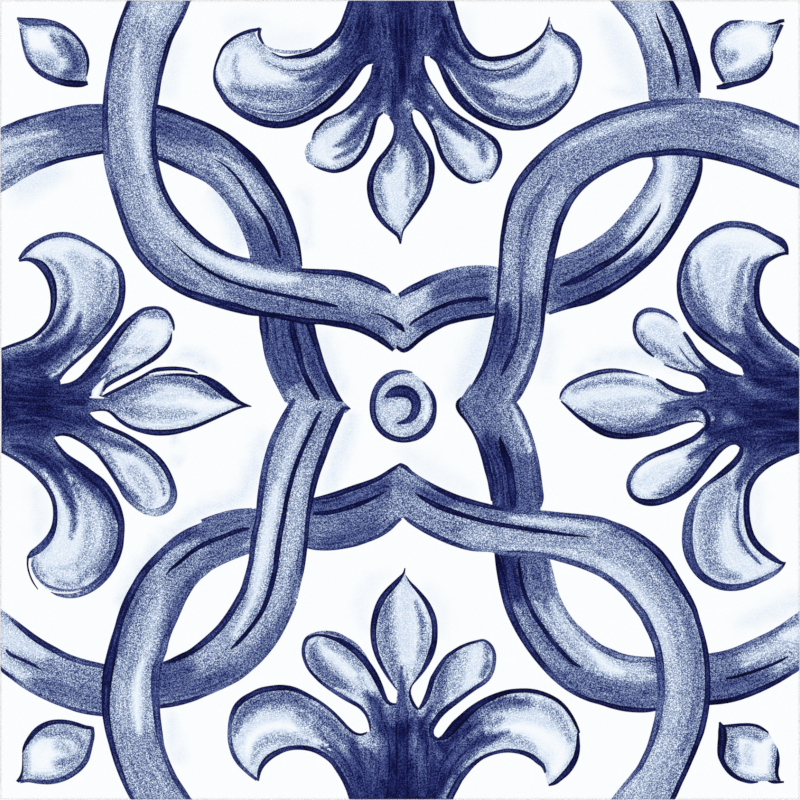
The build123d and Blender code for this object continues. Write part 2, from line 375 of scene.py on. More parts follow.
upperLobeLeft = {
    "fill": 38,
    "bleed": (56, 9),
    "area": ["rim", "tip", "crown"],
    "guides": {"tip": [(396, 349), (398, 322), (395, 294)]},
}
upperLobeLeft["lines"] = {
    "rim": (86, [(131,-4,6),(125.4,10,5.5),(121.3,20,5),(118.2,30,5.5),(115,40,5.5),(112.6,50,5.5),
     (110.8,60,5.5,78),(109,70,5.5,72),(107.4,80,5.5,74),(106.3,90,6,78),(105.6,100,6.5,84),(105.3,112,7),
     (105,124,7),(105.5,136,8,68),(106,148,8,62),(107,160,8,57),(109,171,8,60),(111.8,182,8,68),
     (115,193,8,78),(118,203.6,7.4,80),(122.5,217,7.6,80),(128.4,233.2,8,82),(136.2,249.6,8.2,82),
     (148,264.8,8.4,82),(161.4,277,8.8,82),(175.8,286.8,9,84),(189.3,293.6,9.2),(204,298.6,9.8),
     (220,303.6,10),(235,307.5,10.5,90),(250,311.5,9,92),(263,313.8,7,94),(278,316,7,94),
     (292,318.5,7.5,94),(306,321,8,94),(321,321.8,7,94),(336,323.8,7.8,94),(350,326,8,94),(362,330,8,94),
     (374,335.8,7.8,94),(385,343.2,7,94),(393.5,350.5,4.5,94)]),
    "crown": (86, [(190.6,-4,5,76),(184.8,10,6,76),(180.2,20,6.4,80),(174.4,31,6.4),(170.2,40,6.4,90),
     (166.8,50,6.6,90),(164,60,6.6,88),(161.4,70,6.6),(159.2,80,6.4),(157.7,90,6.4),(156.2,100,6.2),
     (154.2,112,6),(153.7,124,6),(153.6,136,6.3),(154.5,150,7),(155.7,161,7),(158,172,7),(161,183.3,7.2),
     (165.2,193.4,6.8),(171,204.4,6.8),(178.5,215,7,88),(187.3,225,7.2,92),(197.3,235,7.4,92),
     (208.2,243.9,7.2,92),(219.4,250.7,6.6,92),(230.6,255.9,6,86),(241,259,6,78),(252,261,5,70),
     (263,264,5,64),(276,267.5,5,60),(290,269.4,5.4,64),(301,270.2,5.4,76),(312,271.2,6.4),(325,272,7),
     (340,273,7.4),(352,275.4,7.6),(363.4,279,7.6),(374.5,283.6,7.4),(384.4,288.3,6.6),(391,293,3)]),
    "mid": (92, [(171,240,1),(180,249,2),(190,257.5,2.5),(200,265,3.5),(212,273,4),(225,279.3,4),
     (240,284.7,4.2),(255,289.1,4.6),(270,292.6,5),(285,295.6,5),(300,298.8,5),(315,301.8,5),
     (328,304.5,5.5),(338,306.5,3)]),
    "tipLine": (91, [(371,313.3,1),(380,314.8,2.5),(388,318.5,4),(395,323,6),(401,327.5,7),(404.5,332,2)]),
}
upperLobeLeft["washes"] = {
    "north": (24, [(160,-6,26),(154,8,24),(150,20,18)]),
    "northGrain": (41, [(142,28,10),(136,48,16),(128,66,12),(122,84,10)]),
    "streak": (15, [(139,40,2.5),(137,58,4.5),(136,76,6.5),(136,94,8),(137,112,8.5),(138,132,9),(141,152,7),
     (145,170,5)]),
    "west": (44, [(118,84,8),(117,106,9),(118,128,10),(119,150,10),(121,170,9),(126,188,8)]),
    "bend": (38, [(134,196,9),(138,214,10),(146,234,12),(160,254,13),(180,270,11),(202,281,9)]),
    "rimBand": (60, [(117,196,3),(124,214,4),(132,230,5),(143,246,5),(157,262,5),(174,274,4),(196,285,4)]),
    "bendPale": (20, [(148,180,5),(153,196,7),(160,212,9),(170,228,10),(182,241,10),(196,252,9),(212,260,8),
     (228,267,7),(246,272,7)]),
    "crownBand": (48, [(157,186,2),(162,200,3),(171,213,3),(183,226,3),(196,238,2)]),
    "crownWhite": (9, [(194,247,3),(206,255,5),(222,263,6),(240,270,8),(262,276,8),(284,279,6),
     (300,280,3)]),
    "beneath": (62, [(256,258,3),(270,264,5),(286,266,6),(298,267,4)]),
    "upperGrain": (35, [(285,289,4),(310,290,10),(335,294,12),(360,300,14),(384,306,13),(400,312,12)]),
    "upperBand": (46, [(326,303,3),(344,305,5),(362,308,5),(380,313,3)]),
    "tipLight": (23, [(384,297,3),(394,300,6),(402,306,6)]),
    "lowerShade": (62, [(226,290,3),(244,297,6),(260,301,7),(282,306,8),(302,309,8)]),
    "lowerDeep": (62, [(300,309,7),(325,313,8),(348,317,9),(368,324,8),(382,332,5)]),
    "tipShade": (56, [(372,318,6),(386,326,7),(396,336,6)]),
    "tipPale": (28, [(392,336,5),(400,342,6)]),
}

rightLobeUpper = {
    "fill": 44,
    "bleed": (54, 7),
    "area": ["rim", "cusp", "foot"],
    "guides": {"cusp": [(467, 397), (488, 401), (513, 401)]},
}
rightLobeUpper["lines"] = {
    "rim": (80, [(804,130,6,76),(790,124,6,76),(780,119.8,6,78),(765,113.4,6,78),(750,108.9,6,76),
     (735,104.7,6,68),(720,102.5,5,58),(705,101,7,60),(690,101,7.5,66),(675,101.8,8,70),(660,103.3,8.5,72),
     (645,105.4,8.6,74),(630.2,109,8.2,75),(615.3,113.3,8.4,77),(600.5,118.4,8.6,78),(588.9,124.2,8.4,77),
     (576.1,130.4,8.4,76),(564.2,137.4,8.4,76),(553.4,145,8.4,77),(542.6,154.8,8.4,78),
     (531.8,165.6,8.6,80),(523,176.4,8.6,83),(515.6,188,8,86),(510.4,200.6,7.4,88),(506.8,213.3,6.6,90),
     (504.2,226.2,6,90),(502,240,5.5,90),(501,254,5,92),(500,268,5,92),(499,281,4.5,90),(498,292,4,88),
     (497,303,4,84),(496.6,315,6,82),(494.6,328,7,83),(491.8,341,7,84),(488.2,354,6.6,86),(484,366,6,86),
     (477.4,378,4.4,86),(473,385,3,80),(470,392,2,50),(466,399,2,50)]),
    "foot": (88, [(804,188.3,5,84),(790,183,6,84),(780,179,6.6,85),(770,174.6,7,85),(758,170,7.4,84),
     (745,165,7.6,82),(730,160.8,8,84),(715,156.8,8.4,88),(700,154,8.6),(685,152,8.6),(670,152,8.2),
     (655,154,7.2),(640,155.6,6.8),(627,160,6.4,86),(614,166,6.2,84),(601.4,172.8,6.4,82),(591,179.4,7,82),
     (582,186.4,8,82),(574.8,194.2,8.5,82),(568.8,203,8.5,84),(563.6,214,8.5,88),(559,224,9),(556,236,9),
     (553,248,9),(550.5,260,9),(548.5,272,8),(546.5,284,7.5),(545.2,296,7),(543.6,308,6.5),
     (542.8,320,5.5,88),(541.6,332,5,84),(539,344,6,80),(535,357,7,76),(530,371,8,73),(524,384,8.5,71),
     (517,397,8,66),(513,403,4,62)]),
    "mid": (64, [(552,176,2,72),(545,188,5,66),(536,201,9,62),(529,216,10,62),(525,232,9,61),(523,248,8,58),
     (521.5,264,6,62),(521,280,5,72),(521,296,4,82),(520.5,312,4,87),(519,326,4.5,87),(516.5,340,5,88),
     (512,353,6,88),(506,365,6,88),(501,376,2.5,86)]),
}
rightLobeUpper["washes"] = {
    "farEast": (20, [(806,152,15),(788,145,13),(770,139,11),(752,133,9),(734,128,5)]),
    "farGrain": (34, [(806,172,10),(790,167,8),(772,161,8)]),
    "eastFoot": (54, [(764,159,4),(748,153,7),(730,149,7),(712,146,6)]),
    "crown": (50, [(730,126,12),(700,126,12),(670,129,12),(640,136,12),(610,145,12)]),
    "crownPale": (25, [(676,117,3),(660,117,5),(640,120,6),(620,125,6),(600,132,5),(584,139,5),
     (568,148,3)]),
    "bendGrain": (48, [(600,152,12),(580,160,13),(560,170,13),(546,182,9)]),
    "bendPale": (32, [(562,192,4),(553,206,7),(546,222,7),(542,240,7),(539,258,7),(537,276,7),(534,290,5)]),
    "westGrain": (40, [(524,190,6),(517,206,7),(513,224,7),(511,242,7),(510,262,7),(510,282,6)]),
    "eastWhite": (24, [(553,212,1.5),(549,228,2.5),(546,244,2.5),(543,262,2.5),(540,280,1.5)]),
    "deep": (78, [(507,306,5),(507,318,9),(505,332,12),(500,346,14),(493,362,14),(486,376,10)]),
    "eastShade": (62, [(531,298,7),(531,312,9),(530,328,9),(526,346,9)]),
    "low": (62, [(498,378,16),(488,392,20),(482,406,20)]),
    "lowGrain": (56, [(520,352,7),(513,368,9),(508,384,7)]),
    "lowPale": (26, [(532,342,1.6),(529,354,2),(523.4,368,2.4),(516.6,382,2.6),(510,395,2.6),(508,404,2)]),
}

lowerLobeRight = {
    "fill": 40,
    "bleed": (50, 6),
    "area": ["rim", "mouth", "foot", "notch"],
    "guides": {"notch": [(398, 517), (392, 505), (392, 475)], "mouth": [(668, 806), (606, 806)]},
}
lowerLobeRight["lines"] = {
    "rim": (89, [(400,464.5,5),(406,467.5,5.5),(411,472,4.5,80),(419,477.5,4,64),(427,482.5,5,72),
     (436,488,6.5),(446,493,7),(457,497.5,7),(468,501,7),(479,504,6.5),(490,506.5,6),(500,509,4.5),
     (508,511,3,80),(522,512.3,4,68),(540,512.6,6,68),(556,514.2,6.2,71),(572,515.7,6.2,72),
     (587,517.2,6.2,73),(601,519.6,6.6,72),(612,523.5,6.5,72),(624,528.5,7.5,76),(636,535,8.5,80),
     (648,543.5,9,84),(659,553.5,9.5),(668,565,9.5),(675.5,577,9),(683,589,8.5),(689.5,600,8),
     (694.5,610,7),(697.5,620,6.5),(700.6,630,6.5),(703.3,640,6.5),(705.4,650,6.8),(706.8,662,7),
     (707.5,675,7),(707.7,688,7),(707,701,7.2),(705.5,712,7.6),(703.5,722,7.6),(701,732,7.6),(697.5,742,7),
     (693.7,752,6.8),(689.4,762,6.6),(685,772,6.6),(680.2,782,6.6),(675.8,792,6.6),(670,805,6.4)]),
    "foot": (72, [(404,517,3,80),(410,521.5,5,80),(418,526.5,6,80),(427,531.5,6.5,80),(436,536,6.5,80),
     (446,540.5,6.5,80),(456,544.5,6,80),(466,548,5,78),(476,550,4,64),(488,550.8,3,50),(497,552,4,60),
     (507,553.5,7,68),(520,554.3,8.5,66),(535,555,8,66),(548,556,7,72),(561,559.4,6.8),(574.6,563.3,7,70),
     (587.4,568,7,70),(600.2,573.6,7.4,70),(611,580.4,7.8),(620.3,588.2,8.2),(628.8,596.6,9),
     (635.9,606,9.2),(643,615,9.5,74),(648,625,9.5,76),(652.7,635,9.2,78),(656.5,645,9),(659,656,9,80),
     (660.5,668,9,76),(661.2,682,9,74),(661.3,694,9,72),(660,706,8.5,68),(657.7,719,8,68),(655,730,8,70),
     (652,740,7.5,72),(648.3,750,7,75),(643.5,760,7,78),(639,768,6.5,76),(632,776.3,5.5,64),
     (624.3,785.3,5,58),(616.6,795,5,56),(609,806,5,56)]),
    "mid": (92, [(415,493,1.5),(422,497.5,5),(430,502,6.5),(440,507,7),(452,511.5,7),(464,515.5,6.5),
     (476,519,6),(488,522.3,6),(500,524.5,6),(512,526.5,6),(524,528.5,5.5),(536,530.5,5.5),(548,532,5),
     (560,533.7,4.5),(572,535.2,3.5),(582,536.2,2),(590,537,0.8)]),
}
lowerLobeRight["washes"] = {
    "tip": (58, [(396,480,8),(406,488,10),(418,488,7)]),
    "tipDeep": (76, [(424,492,4),(438,498,6),(452,502,5),(462,507,2)]),
    "tipGrain": (50, [(398,504,10),(416,512,11),(436,522,10),(458,530,9)]),
    "band": (58, [(460,505,4),(478,511,5),(496,515,5),(508,518,3)]),
    "grain": (35, [(470,533,9),(495,536,10),(520,540,9),(545,543,9),(570,548,9),(588,552,8)]),
    "white": (12, [(508,517.5,1),(524,520,2.5),(542,522,3.5),(562,524,4),(580,526,3),(596,529,2)]),
    "whiteLow": (22, [(500,547,1),(525,547.5,2),(550,549,3),(574,554,5),(596,562,6),(612,569,6)]),
    "bendGrain": (39, [(592,533,4),(610,540,8),(626,549,9),(642,562,9),(655,577,8),(665,592,7)]),
    "bendBand": (58, [(612,530,3),(630,539,5),(646,551,6),(659,565,6),(669,580,6),(677,594,5)]),
    "bendPale": (15, [(606,566,7),(622,576,9),(636,590,9),(648,606,10),(658,624,10),(665,642,9),
     (670,660,6)]),
    "eastGrain": (36, [(674,606,9),(683,626,10),(689,648,10),(692,672,10),(691,696,10),(687,718,11),
     (679,740,11)]),
    "westPale": (26, [(672,664,8),(674,684,8),(673,704,8),(669,724,8)]),
    "low": (26, [(664,744,10),(655,760,13),(645,778,13),(637,796,15)]),
    "lowEast": (38, [(682,746,5),(672,766,6),(662,786,6),(654,804,6)]),
    "eastBand": (57, [(672,590,2),(680,606,4),(688,624,5),(694,644,5.5),(697,666,6),(698,690,6),(695,712,6),
     (689,734,5),(681,752,4)]),
}

# The palmettes. One grows in from the middle of each side of the tile.

topPalmette = {
    "flow": [[(401, -8), (402, 60), (403, 118)], [(380, -8), (384, 50), (360, 112)],
             [(362, -8), (352, 40), (310, 78)], [(424, -8), (422, 50), (440, 112)],
             [(440, -8), (450, 40), (490, 78)]],
    "fill": 9,
    "bleed": (40, 9),
    "area": ["leftHollow", "leftHook", "leftLeaf", "leftPetalTop", "leftFringe", "leftPetalFoot",
             "leafLeft", "leafTip", "leafRight", "rightPetalFoot", "rightFringe", "rightPetalTop",
             "rightLeaf", "rightHollow", "edge"],
    "guides": {
        "leftHook": [(266, 49), (258, 41), (255, 33)],
        "leftFringe": [(307, 144), (304.5, 152), (307, 162)],
        "leafTip": [(400.5, 245)],
        "rightFringe": [(489, 182)],
        "edge": [(449, -5), (351, -5)],
    },
}
topPalmette["lines"] = {
    "leftHollow": (88, [(352.5,-4,7),(349.8,5,7.2),(346.2,15,7),(342,25.4,7),(335.6,35.8,7.6),(328,43,9),
     (320,49,8.5),(311,53.5,7.5),(300,56,6),(288,57.5,4),(280,56.5,2.5),(272,52.5,1.5)]),
    "leftLeaf": (90, [(260,28,3),(257,29.5,4),(250,31,5),(240,34.5,4.5),(230.6,40,4),(223,47.8,4),
     (218.4,57.5,3.5),(215.3,66.4,3),(214.3,75,3.5,84),(216,84.3,5,80),(221.2,93.3,6,80),
     (228.4,103.2,7,82),(239.6,112,8,85),(251.8,118.6,8.6,88),(265.2,123.4,8.6),(280,124.8,8.6,92),
     (295,122,9,93),(310.4,115,9.4,94),(325,106,10.4,94),(338,94.5,10,94),(347,84.5,10,93),(354,75,9,92),
     (361,67,7,92),(366.5,63,6,92),(372.5,62,4.5,92)]),
    "leftPetalTop": (88, [(373,65,2.5),(371,76,3),(366,86,3),(358,97.5,3,80),(350,106,3),(343,111.5,3.5),
     (334,116,3.5),(326,119.5,4),(320.4,125,4,92),(314.6,132,3),(312,140.5,2.5,60)]),
    "leftPetalFoot": (90, [(314,166,1.5),(319,168,3),(326,170,4.5),(335,171.3,5),(346,168.2,6),
     (355.2,162,6.2),(362.2,154,6.8),(367.6,144.6,6.6),(371.2,135,6.6),(374,125,5.8),(377.4,117.2,4),
     (383,112.5,2.5)]),
    "leafLeft": (88, [(390,117,3,84),(394.8,125,4,84),(395,134,5,84),(391.8,143,5.5),(386,152,6.2),
     (379.2,160.4,6.8),(373.8,170,7.4),(370.6,181,8),(370.4,192,8),(373,204,7.6),(377.6,214.4,6.8),
     (384,223,6.2),(391.4,230,5.4),(398,236,4.5),(400.5,244,2.5)]),
    "leafRight": (90, [(401,243,1),(403,231,2.5),(409,222,3.5),(415,213,5),(421,204,6),(426.8,194,6.5),
     (430.4,182,7),(431.8,170,7.5),(431,158,7.5),(427,148,7),(422,139.5,6),(417,131.5,5),(413,123,3.5),
     (411.5,113,2)]),
    "rightPetalFoot": (90, [(414.4,108.5,2.5),(420.3,111.4,3),(425.4,117,4),(430.2,124.4,5),(434.4,133,5.5),
     (437.2,142,6),(439.5,150,6),(444,159.5,6),(450.5,168.5,6),(457.5,175.5,5.5),(465,180,5),(473,182.5,4),
     (482,181,2.5)]),
    "rightPetalTop": (88, [(490,179,2),(494,173,3.5),(498,165.4,4.8),(500,157,6),(499,149,6.5),
     (494.6,141,7),(487.4,134.6,6),(478.6,128.6,5.2),(468,122,4.5),(458,115.5,4),(449,108,3),
     (442,99.5,2.5),(436,90,2.5),(430,81,3),(425.5,72,4),(423.3,64,4),(423.5,56,3)]),
    "rightLeaf": (90, [(430,56.5,2.5),(437,61,5),(442,69,7),(447.5,80,9),(456,94,10.5),(467,106.5,10),
     (479,116,9),(492,122.5,8.5,92),(507,127,7.5),(520,128,6.5),(534,125.5,6),(546,120,5.5),
     (555.5,113.5,4.5),(564,105.5,4),(570.5,97,3.5),(575,88,3.5),(578.5,77,4,88),(580,65,5.5,78),
     (578,53,8,74),(572,43.5,9,74),(564,36.5,8,76),(557,33,5,88),(553,30,3),(551,24,1.5)]),
    "rightHollow": (90, [(549.5,17,1.5),(547,27,3),(542,36,4),(534,44,5),(524,51,5.5),(512,56,6),
     (500,58.3,6.5),(488,58.7,6.5),(476,54,8.5),(467,44,8),(460,30,6.5),(455,15,7),(449,-4,9)]),
    "leftCrease": (86, [(266,61,0.5),(274,65.5,0.9),(285,69.5,1.2),(300,70.5,1.2),(312,67.5,1),
     (322,62.5,0.6)]),
    "leftSliver": (24, [(245,107,0.8),(260,112,1.6),(280,114,1.6),(300,110,1.6),(315,101,1.6),(330,89,1)]),
    "hook": (86, [(260.5,28,4),(259,34,4.6),(261.2,40.5,4),(265.5,47,2)]),
    "hookEdge": (36, [(263,44.5,2),(272,49.5,4),(285,52,4.5),(300,51.5,4),(312,48.5,2)]),
    "rightSliver": (8, [(449,69,1),(455.5,80,2),(462.5,90.5,1.8),(471,100,1.8),(481,108.5,1.6),
     (494,116,1.2),(508,120.5,0.8)]),
    "rightCrease": (88, [(458,52,0.8),(466,61.5,1.6),(478,68,1.8),(494,70.5,1.6),(508,68.5,1.4),
     (520,63,0.8)]),
}
topPalmette["washes"] = {
    "coreLeft": (88, [(358,-6,10),(364,20,18),(360,44,18),(348,62,12)]),
    "coreMid": (88, [(402,-6,40),(402,30,34),(402,62,24),(402,86,14)]),
    "coreRight": (86, [(436,-6,12),(438,20,16),(442,42,14),(438,58,7)]),
    "coreHollow": (78, [(344,40,5),(352,22,6),(357,4,6)]),
    "stemLeft": (82, [(372,52,8),(378,76,9),(378,96,9),(372,112,7)]),
    "stemRight": (82, [(428,62,6),(422,80,8),(420,96,8)]),
    "stemMid": (84, [(396,92,12),(394,108,9),(400,122,9)]),
    "coreSeamA": (80, [(370,6,1.4),(374,30,2),(384,58,2),(388,84,1.2)]),
    "coreSeamB": (70, [(384,10,1),(390,40,1.6),(394,76,1)]),
    "coreSeamC": (76, [(432,4,1.6),(426,30,2),(420,56,1.4)]),
    "coreSeamD": (64, [(446,2,2),(444,18,2.4),(436,36,1.6)]),
    "coreSeamE": (68, [(414,50,1),(412,76,1.8),(408,98,1)]),
    "leftLight": (6, [(238,60,7),(252,66,9),(270,74,8),(286,79,3)]),
    "leftRimWhite": (3, [(226,50,3),(220,62,3),(219,74,3),(224,84,3)]),
    "leftTipGrain": (24, [(270,60,4),(256,48,4),(246,40,4)]),
    "leftEdgeGrain": (28, [(236,56,2.5),(235,70,3.5),(239,82,4)]),
    "leftGrain": (50, [(234,88,5),(250,94,8),(272,96,10),(294,96,11),(314,90,11)]),
    "leftUnder": (66, [(240,104,2.5),(256,111,5),(278,114.5,6),(298,110.5,6.5),(316,100,6)]),
    "leftTongue": (75, [(297,80,1.8),(308,78,4),(322,73,6.5),(336,62,7)]),
    "leftShade": (78, [(318,92,5),(334,78,9),(346,60,10),(352,40,8)]),
    "leftRim": (11, [(267,57,1.6),(278,61.5,3.2),(292,64.4,4),(306,63.4,3.4),(318,58.5,2),(328,51,1.4),
     (337,39,0.8)]),
    "petalStem": (81, [(374,84,5),(366,97,8),(358,107,7.5),(349,114,4)]),
    "petalGrain": (42, [(318,130,4),(330,123,4),(344,117,4)]),
    "petalPale": (6, [(320,142,5),(322,156,6),(332,164,3)]),
    "petalFringe": (40, [(309.5,141,2.5),(307,152,3.4),(310,162,3)]),
    "petalRay": (10, [(366,107,1),(356,119,2.4),(346,129,2.6),(336,137,2)]),
    "petalTongue": (72, [(336,146,1.5),(346,141,4.5),(356,132,6.5),(365,120,6.5),(373,106,6)]),
    "petalShade": (68, [(335,158,1),(346,153,3.5),(357,145,4.5),(366,132,4)]),
    "petalSliver": (10, [(342,161,0.8),(352,156,1.6),(361,147,1.6),(367.5,134,1)]),
    "leafDeep": (74, [(402,112,9),(404,126,9),(401,141,9)]),
    "leafHead": (58, [(396,145,5),(393,156,6),(388,168,5)]),
    "leafGrainLeft": (40, [(386,156,4),(379,172,4.5),(379,190,4.5),(385,208,3.5)]),
    "leafDeepRight": (68, [(408,128,8),(413,146,9),(418,166,7),(418,186,4)]),
    "leafGrainRight": (44, [(422,176,4.5),(419,192,4.5),(411,208,3.5)]),
    "leafLight": (10, [(400,139,1),(398,152,2),(396.5,168,3.4),(397,190,5),(399,212,4),(401,230,2)]),
    "leafStreak": (36, [(408,150,2),(409,172,3),(407,196,2)]),
    "leafTick": (6, [(427,163,0.7),(427.7,170,1),(427,178,0.7)]),
    "rightGrain": (42, [(440,130,4),(447,146,5),(456,160,5),(466,170,3)]),
    "rightSoft": (10, [(464,146,4),(472,158,5),(478,171,4)]),
    "rightEdge": (56, [(456,122,4),(470,132,4.5),(481,143,5),(484,157,4)]),
    "rightRim": (5, [(490,148,1.4),(492,157,1.8),(489,167,1.6)]),
    "rightStreak": (80, [(414,80,5),(424,94,7),(436,107,8),(448,119,7),(460,130,4.5),(470,139,2)]),
    "rightWhite": (10, [(425,94,0.6),(429,102,1),(433,111,0.8)]),
    "rightStem": (80, [(412,97,4),(420,106,5.5),(430,116,5)]),
    "farStem": (86, [(444,20,6),(450,36,7),(458,50,7),(470,62,4.5),(484,69,2.5)]),
    "farStemLow": (84, [(438,52,6),(448,62,6),(460,70,5),(472,74,3)]),
    "farShade": (70, [(452,70,4),(464,82,8),(478,90,8),(492,96,6)]),
    "farBlue": (13, [(508,84,5),(526,86,7),(544,82,7),(556,72,5)]),
    "farPale": (7, [(546,50,4),(554,58,5),(558,70,4)]),
    "farGrain": (42, [(498,94,4),(514,100,4),(532,101,3.5),(548,94,2.5)]),
    "farFoot": (68, [(474,94,5),(486,106,7),(504,113,8),(524,115,7),(543,110,6),(557,100,5),(566,87,3.5)]),
    "farTongue": (66, [(456,60,4),(470,72,6),(486,77,5.5),(504,76,4.5),(520,72,4),(534,60,3.5),(543,48,2)]),
    "farRim": (8, [(470,59.5,0.6),(477,64,1.5),(486,66.5,2),(500,66.5,2),(514,62,2),(528,54,2),
     (540,44,1.6)]),
    "farWhite": (4, [(554,42,1.8),(563,49,2.6),(570,59,2.6),(572,71,2.4),(569,84,1.4)]),
}

rightPalmette = {
    "flow": [[(808, 404), (740, 404), (690, 404)], [(808, 382), (750, 382), (700, 362)],
             [(808, 360), (768, 350), (726, 306)], [(808, 426), (750, 426), (694, 444)],
             [(808, 446), (768, 456), (728, 500)]],
    "fill": 8,
    "bleed": (26, 5),
    "area": ["topHollow", "topTip", "topLeaf", "topPetalFoot", "topPetalHead", "topPetalEdge", "petalUnder",
             "topCap", "leafTop", "leafTip", "leafFoot", "lowPetal", "lowLeaf",
             "lowTip", "lowHollow", "edge"],
    "guides": {
        "topTip": [(790, 253)],
        "topPetalEdge": [(661, 361)],
        "leafTip": [(560, 400.5)],
        "lowTip": [(785.5, 562.5)],
        "edge": [(806, 450), (806, 353)],
    },
}
rightPalmette["lines"] = {
    "topHollow": (90, [(802,354.5,8.4),(789,345.6,8.4),(779.6,338,8.4),(770.6,328.6,8.4),(762.8,318.4,8.2),
     (758.4,307,7.6),(756.8,295,7.2),(757.2,283,7),(759.8,272.4,7),(764.6,263.4,6.6),(772,258,5.6),
     (779.6,254.6,4.6),(788,252.8,4)]),
    "topLeaf": (88, [(787.5,255,3,92),(786,248,6.5,92),(781.4,242,9,92),(774.4,238,8.6,84),
     (765.6,233,7.8,76),(756,228,8,74),(747,225.7,8,72),(737,224.3,8,72),(727,224.6,8,75),(717,227.5,8,78),
     (707.5,232.6,8,80),(698.4,239,7.4,83),(690.2,248.2,6.8,86),(684.2,259,6.2),(680.4,271,6),
     (678.8,283,5.8),(679.6,295,6.4),(682.8,306.4,7),(688.2,317,7.6),(694.6,326.8,8.4),
     (703.3,335.2,9.5,92),(712.3,342,9.5),(721.3,348.5,9),(730.3,354.6,8.5),(738,361,7),(743,367,4.5),
     (744,373,2)]),
    "topPetalFoot": (85, [(742,376,2.5),(734,375.5,4.5),(726,373.5,6.5),(716.5,369.5,7.5),(708,364,7.5),
     (701,357,7),(695,349.5,6),(690,341.5,6),(686,335.5,5.5),(683.5,332,4)]),
    "topPetalHead": (78, [(677.5,322,1.5),(672,317.3,3.5),(665,313.3,5),(657,310.5,5.7,72),
     (648.5,310,6.5,72),(641,312.8,5.6,75),(636.4,318.2,5.2,78),(634.4,326,5,80),(635,334,4.6,84),
     (638.2,341.5,4.4,80),(644,348.4,4.5,80),(650,353.7,4,85),(654,357,2)]),
    "petalUnder": (84, [(664,364.5,2),(673,368,3),(683,371.3,3.6),(692,373.2,4.8),(700,376.2,7),
     (705.5,382,7),(707.7,390,5)]),
    "topCap": (86, [(707,391,3),(700,393.5,4),(692,394,5.5),(684,393,7),(676,390.5,7),(668.5,387,6.3),
     (661.5,382,4.6),(656,378.8,2.5)]),
    "leafTop": (78, [(649,376,0.8),(641,374.3,1.7),(632,372.3,3.5),(622,370.9,4.8),(611,370.5,6),
     (600,372.1,6.4),(590,374.8,6.2),(580,378.6,5.6),(571,383.2,5),(564.7,388.4,4),(561,394,3,88),
     (559.8,399,1.5,88)]),
    "leafFoot": (92, [(561,401,2),(568,407.5,4),(577,415.7,5),(586,422,6.5),(594.3,427.7,7.5),(603,432.2,8),
     (612,435,8),(623,436.3,7.5),(634,436,7),(645,434.2,7,88),(655,432.4,7.4,84),(664,429.2,7,84),
     (673,426,6,84),(682,423.2,4.4,84),(690,421.6,3),(698,421.2,2.2),(703,423,1.5)]),
    "lowCap": (91, [(688,411,1),(693,408,2.5),(699,408.2,4),(704.5,412,5.5),(707.5,418,6.5),(707.5,425,6),
     (704,430.5,6)]),
    "lowPetal": (90, [(704,427.5,3),(701,432,6),(694,438.4,7),(685,442.7,7),(675,447,7,86),(666,450.5,7,82),
     (657,453.7,7,78),(649,457.6,7,74),(642.5,462,6.5,70),(636.3,467.3,6.3,68),(631.8,473.5,6,68),
     (629,480.5,6,74),(628.6,487.6,6,82),(631.3,494.6,6),(637,499.6,6.5,92),(645.2,502.2,8,92),
     (654,502.4,8.5,92),(663,500.7,8),(672,497.3,8),(681,492,8.5),(689,485.7,9),(696.7,477.5,9),
     (703.4,468.7,9),(710,460,9),(716.7,452,8.5),(724,446,7.3),(731,443,6),(737,443.3,5),(741,447,4)]),
    "lowLeaf": (88, [(741.5,446,4),(740.3,454,7,92),(735,462,8,92),(727.5,469,8,92),(719.5,475.3,7,90),
     (711.5,481,5.5,78),(705,486,5,70),(699.5,492,6,64),(694.8,500.5,8,64),(691,510,10,66),
     (688.7,520,11,68),(687.4,531,11.5,70),(687.4,542,12,72),(689,553,11.5,75),(692.3,562.5,10.5,80),
     (697,570.7,9.5,84),(704,578,9,88),(713,583.3,8.7,82),(722.5,586.6,8.7,78),(732,587.6,8.3,78),
     (742,586.6,8,78),(751.5,584,7.3,76),(761,580,6.6,72),(769.5,576,6.6,66),(776.5,571.8,5.6,70),
     (782,567,4,85),(785.5,562,2)]),
    "lowHollow": (89, [(785.5,563.3,2.5),(780.5,562.6,5),(773.5,558.6,7),(765,552.6,8),(757,545,8.3),
     (751.3,536,8.3),(748,525,8),(746.6,514,7.7),(746.4,503.5,7.7),(747.2,494,7.5),(749.7,485.5,7.5),
     (754.3,477.5,7.5),(761.5,470,7),(770.5,463.5,6.5),(782,457.7,6),(793,453.5,5.2),(806,449.5,4)]),
    "lowFold": (64, [(741,488,2),(738.6,500,3),(737.3,514,3.5),(738,528,3.5),(741.7,540,4),(748,550.5,4.2),
     (755,558.5,4),(761,564.5,2)]),
    "petalCrease": (76, [(678,345,0.8),(684,354,2),(691,362,2.6),(700,369,2)]),
    "neckLine": (78, [(658,405,0.8),(668,402.8,2),(680,400.8,2.2),(692,399.6,1.4)]),
}
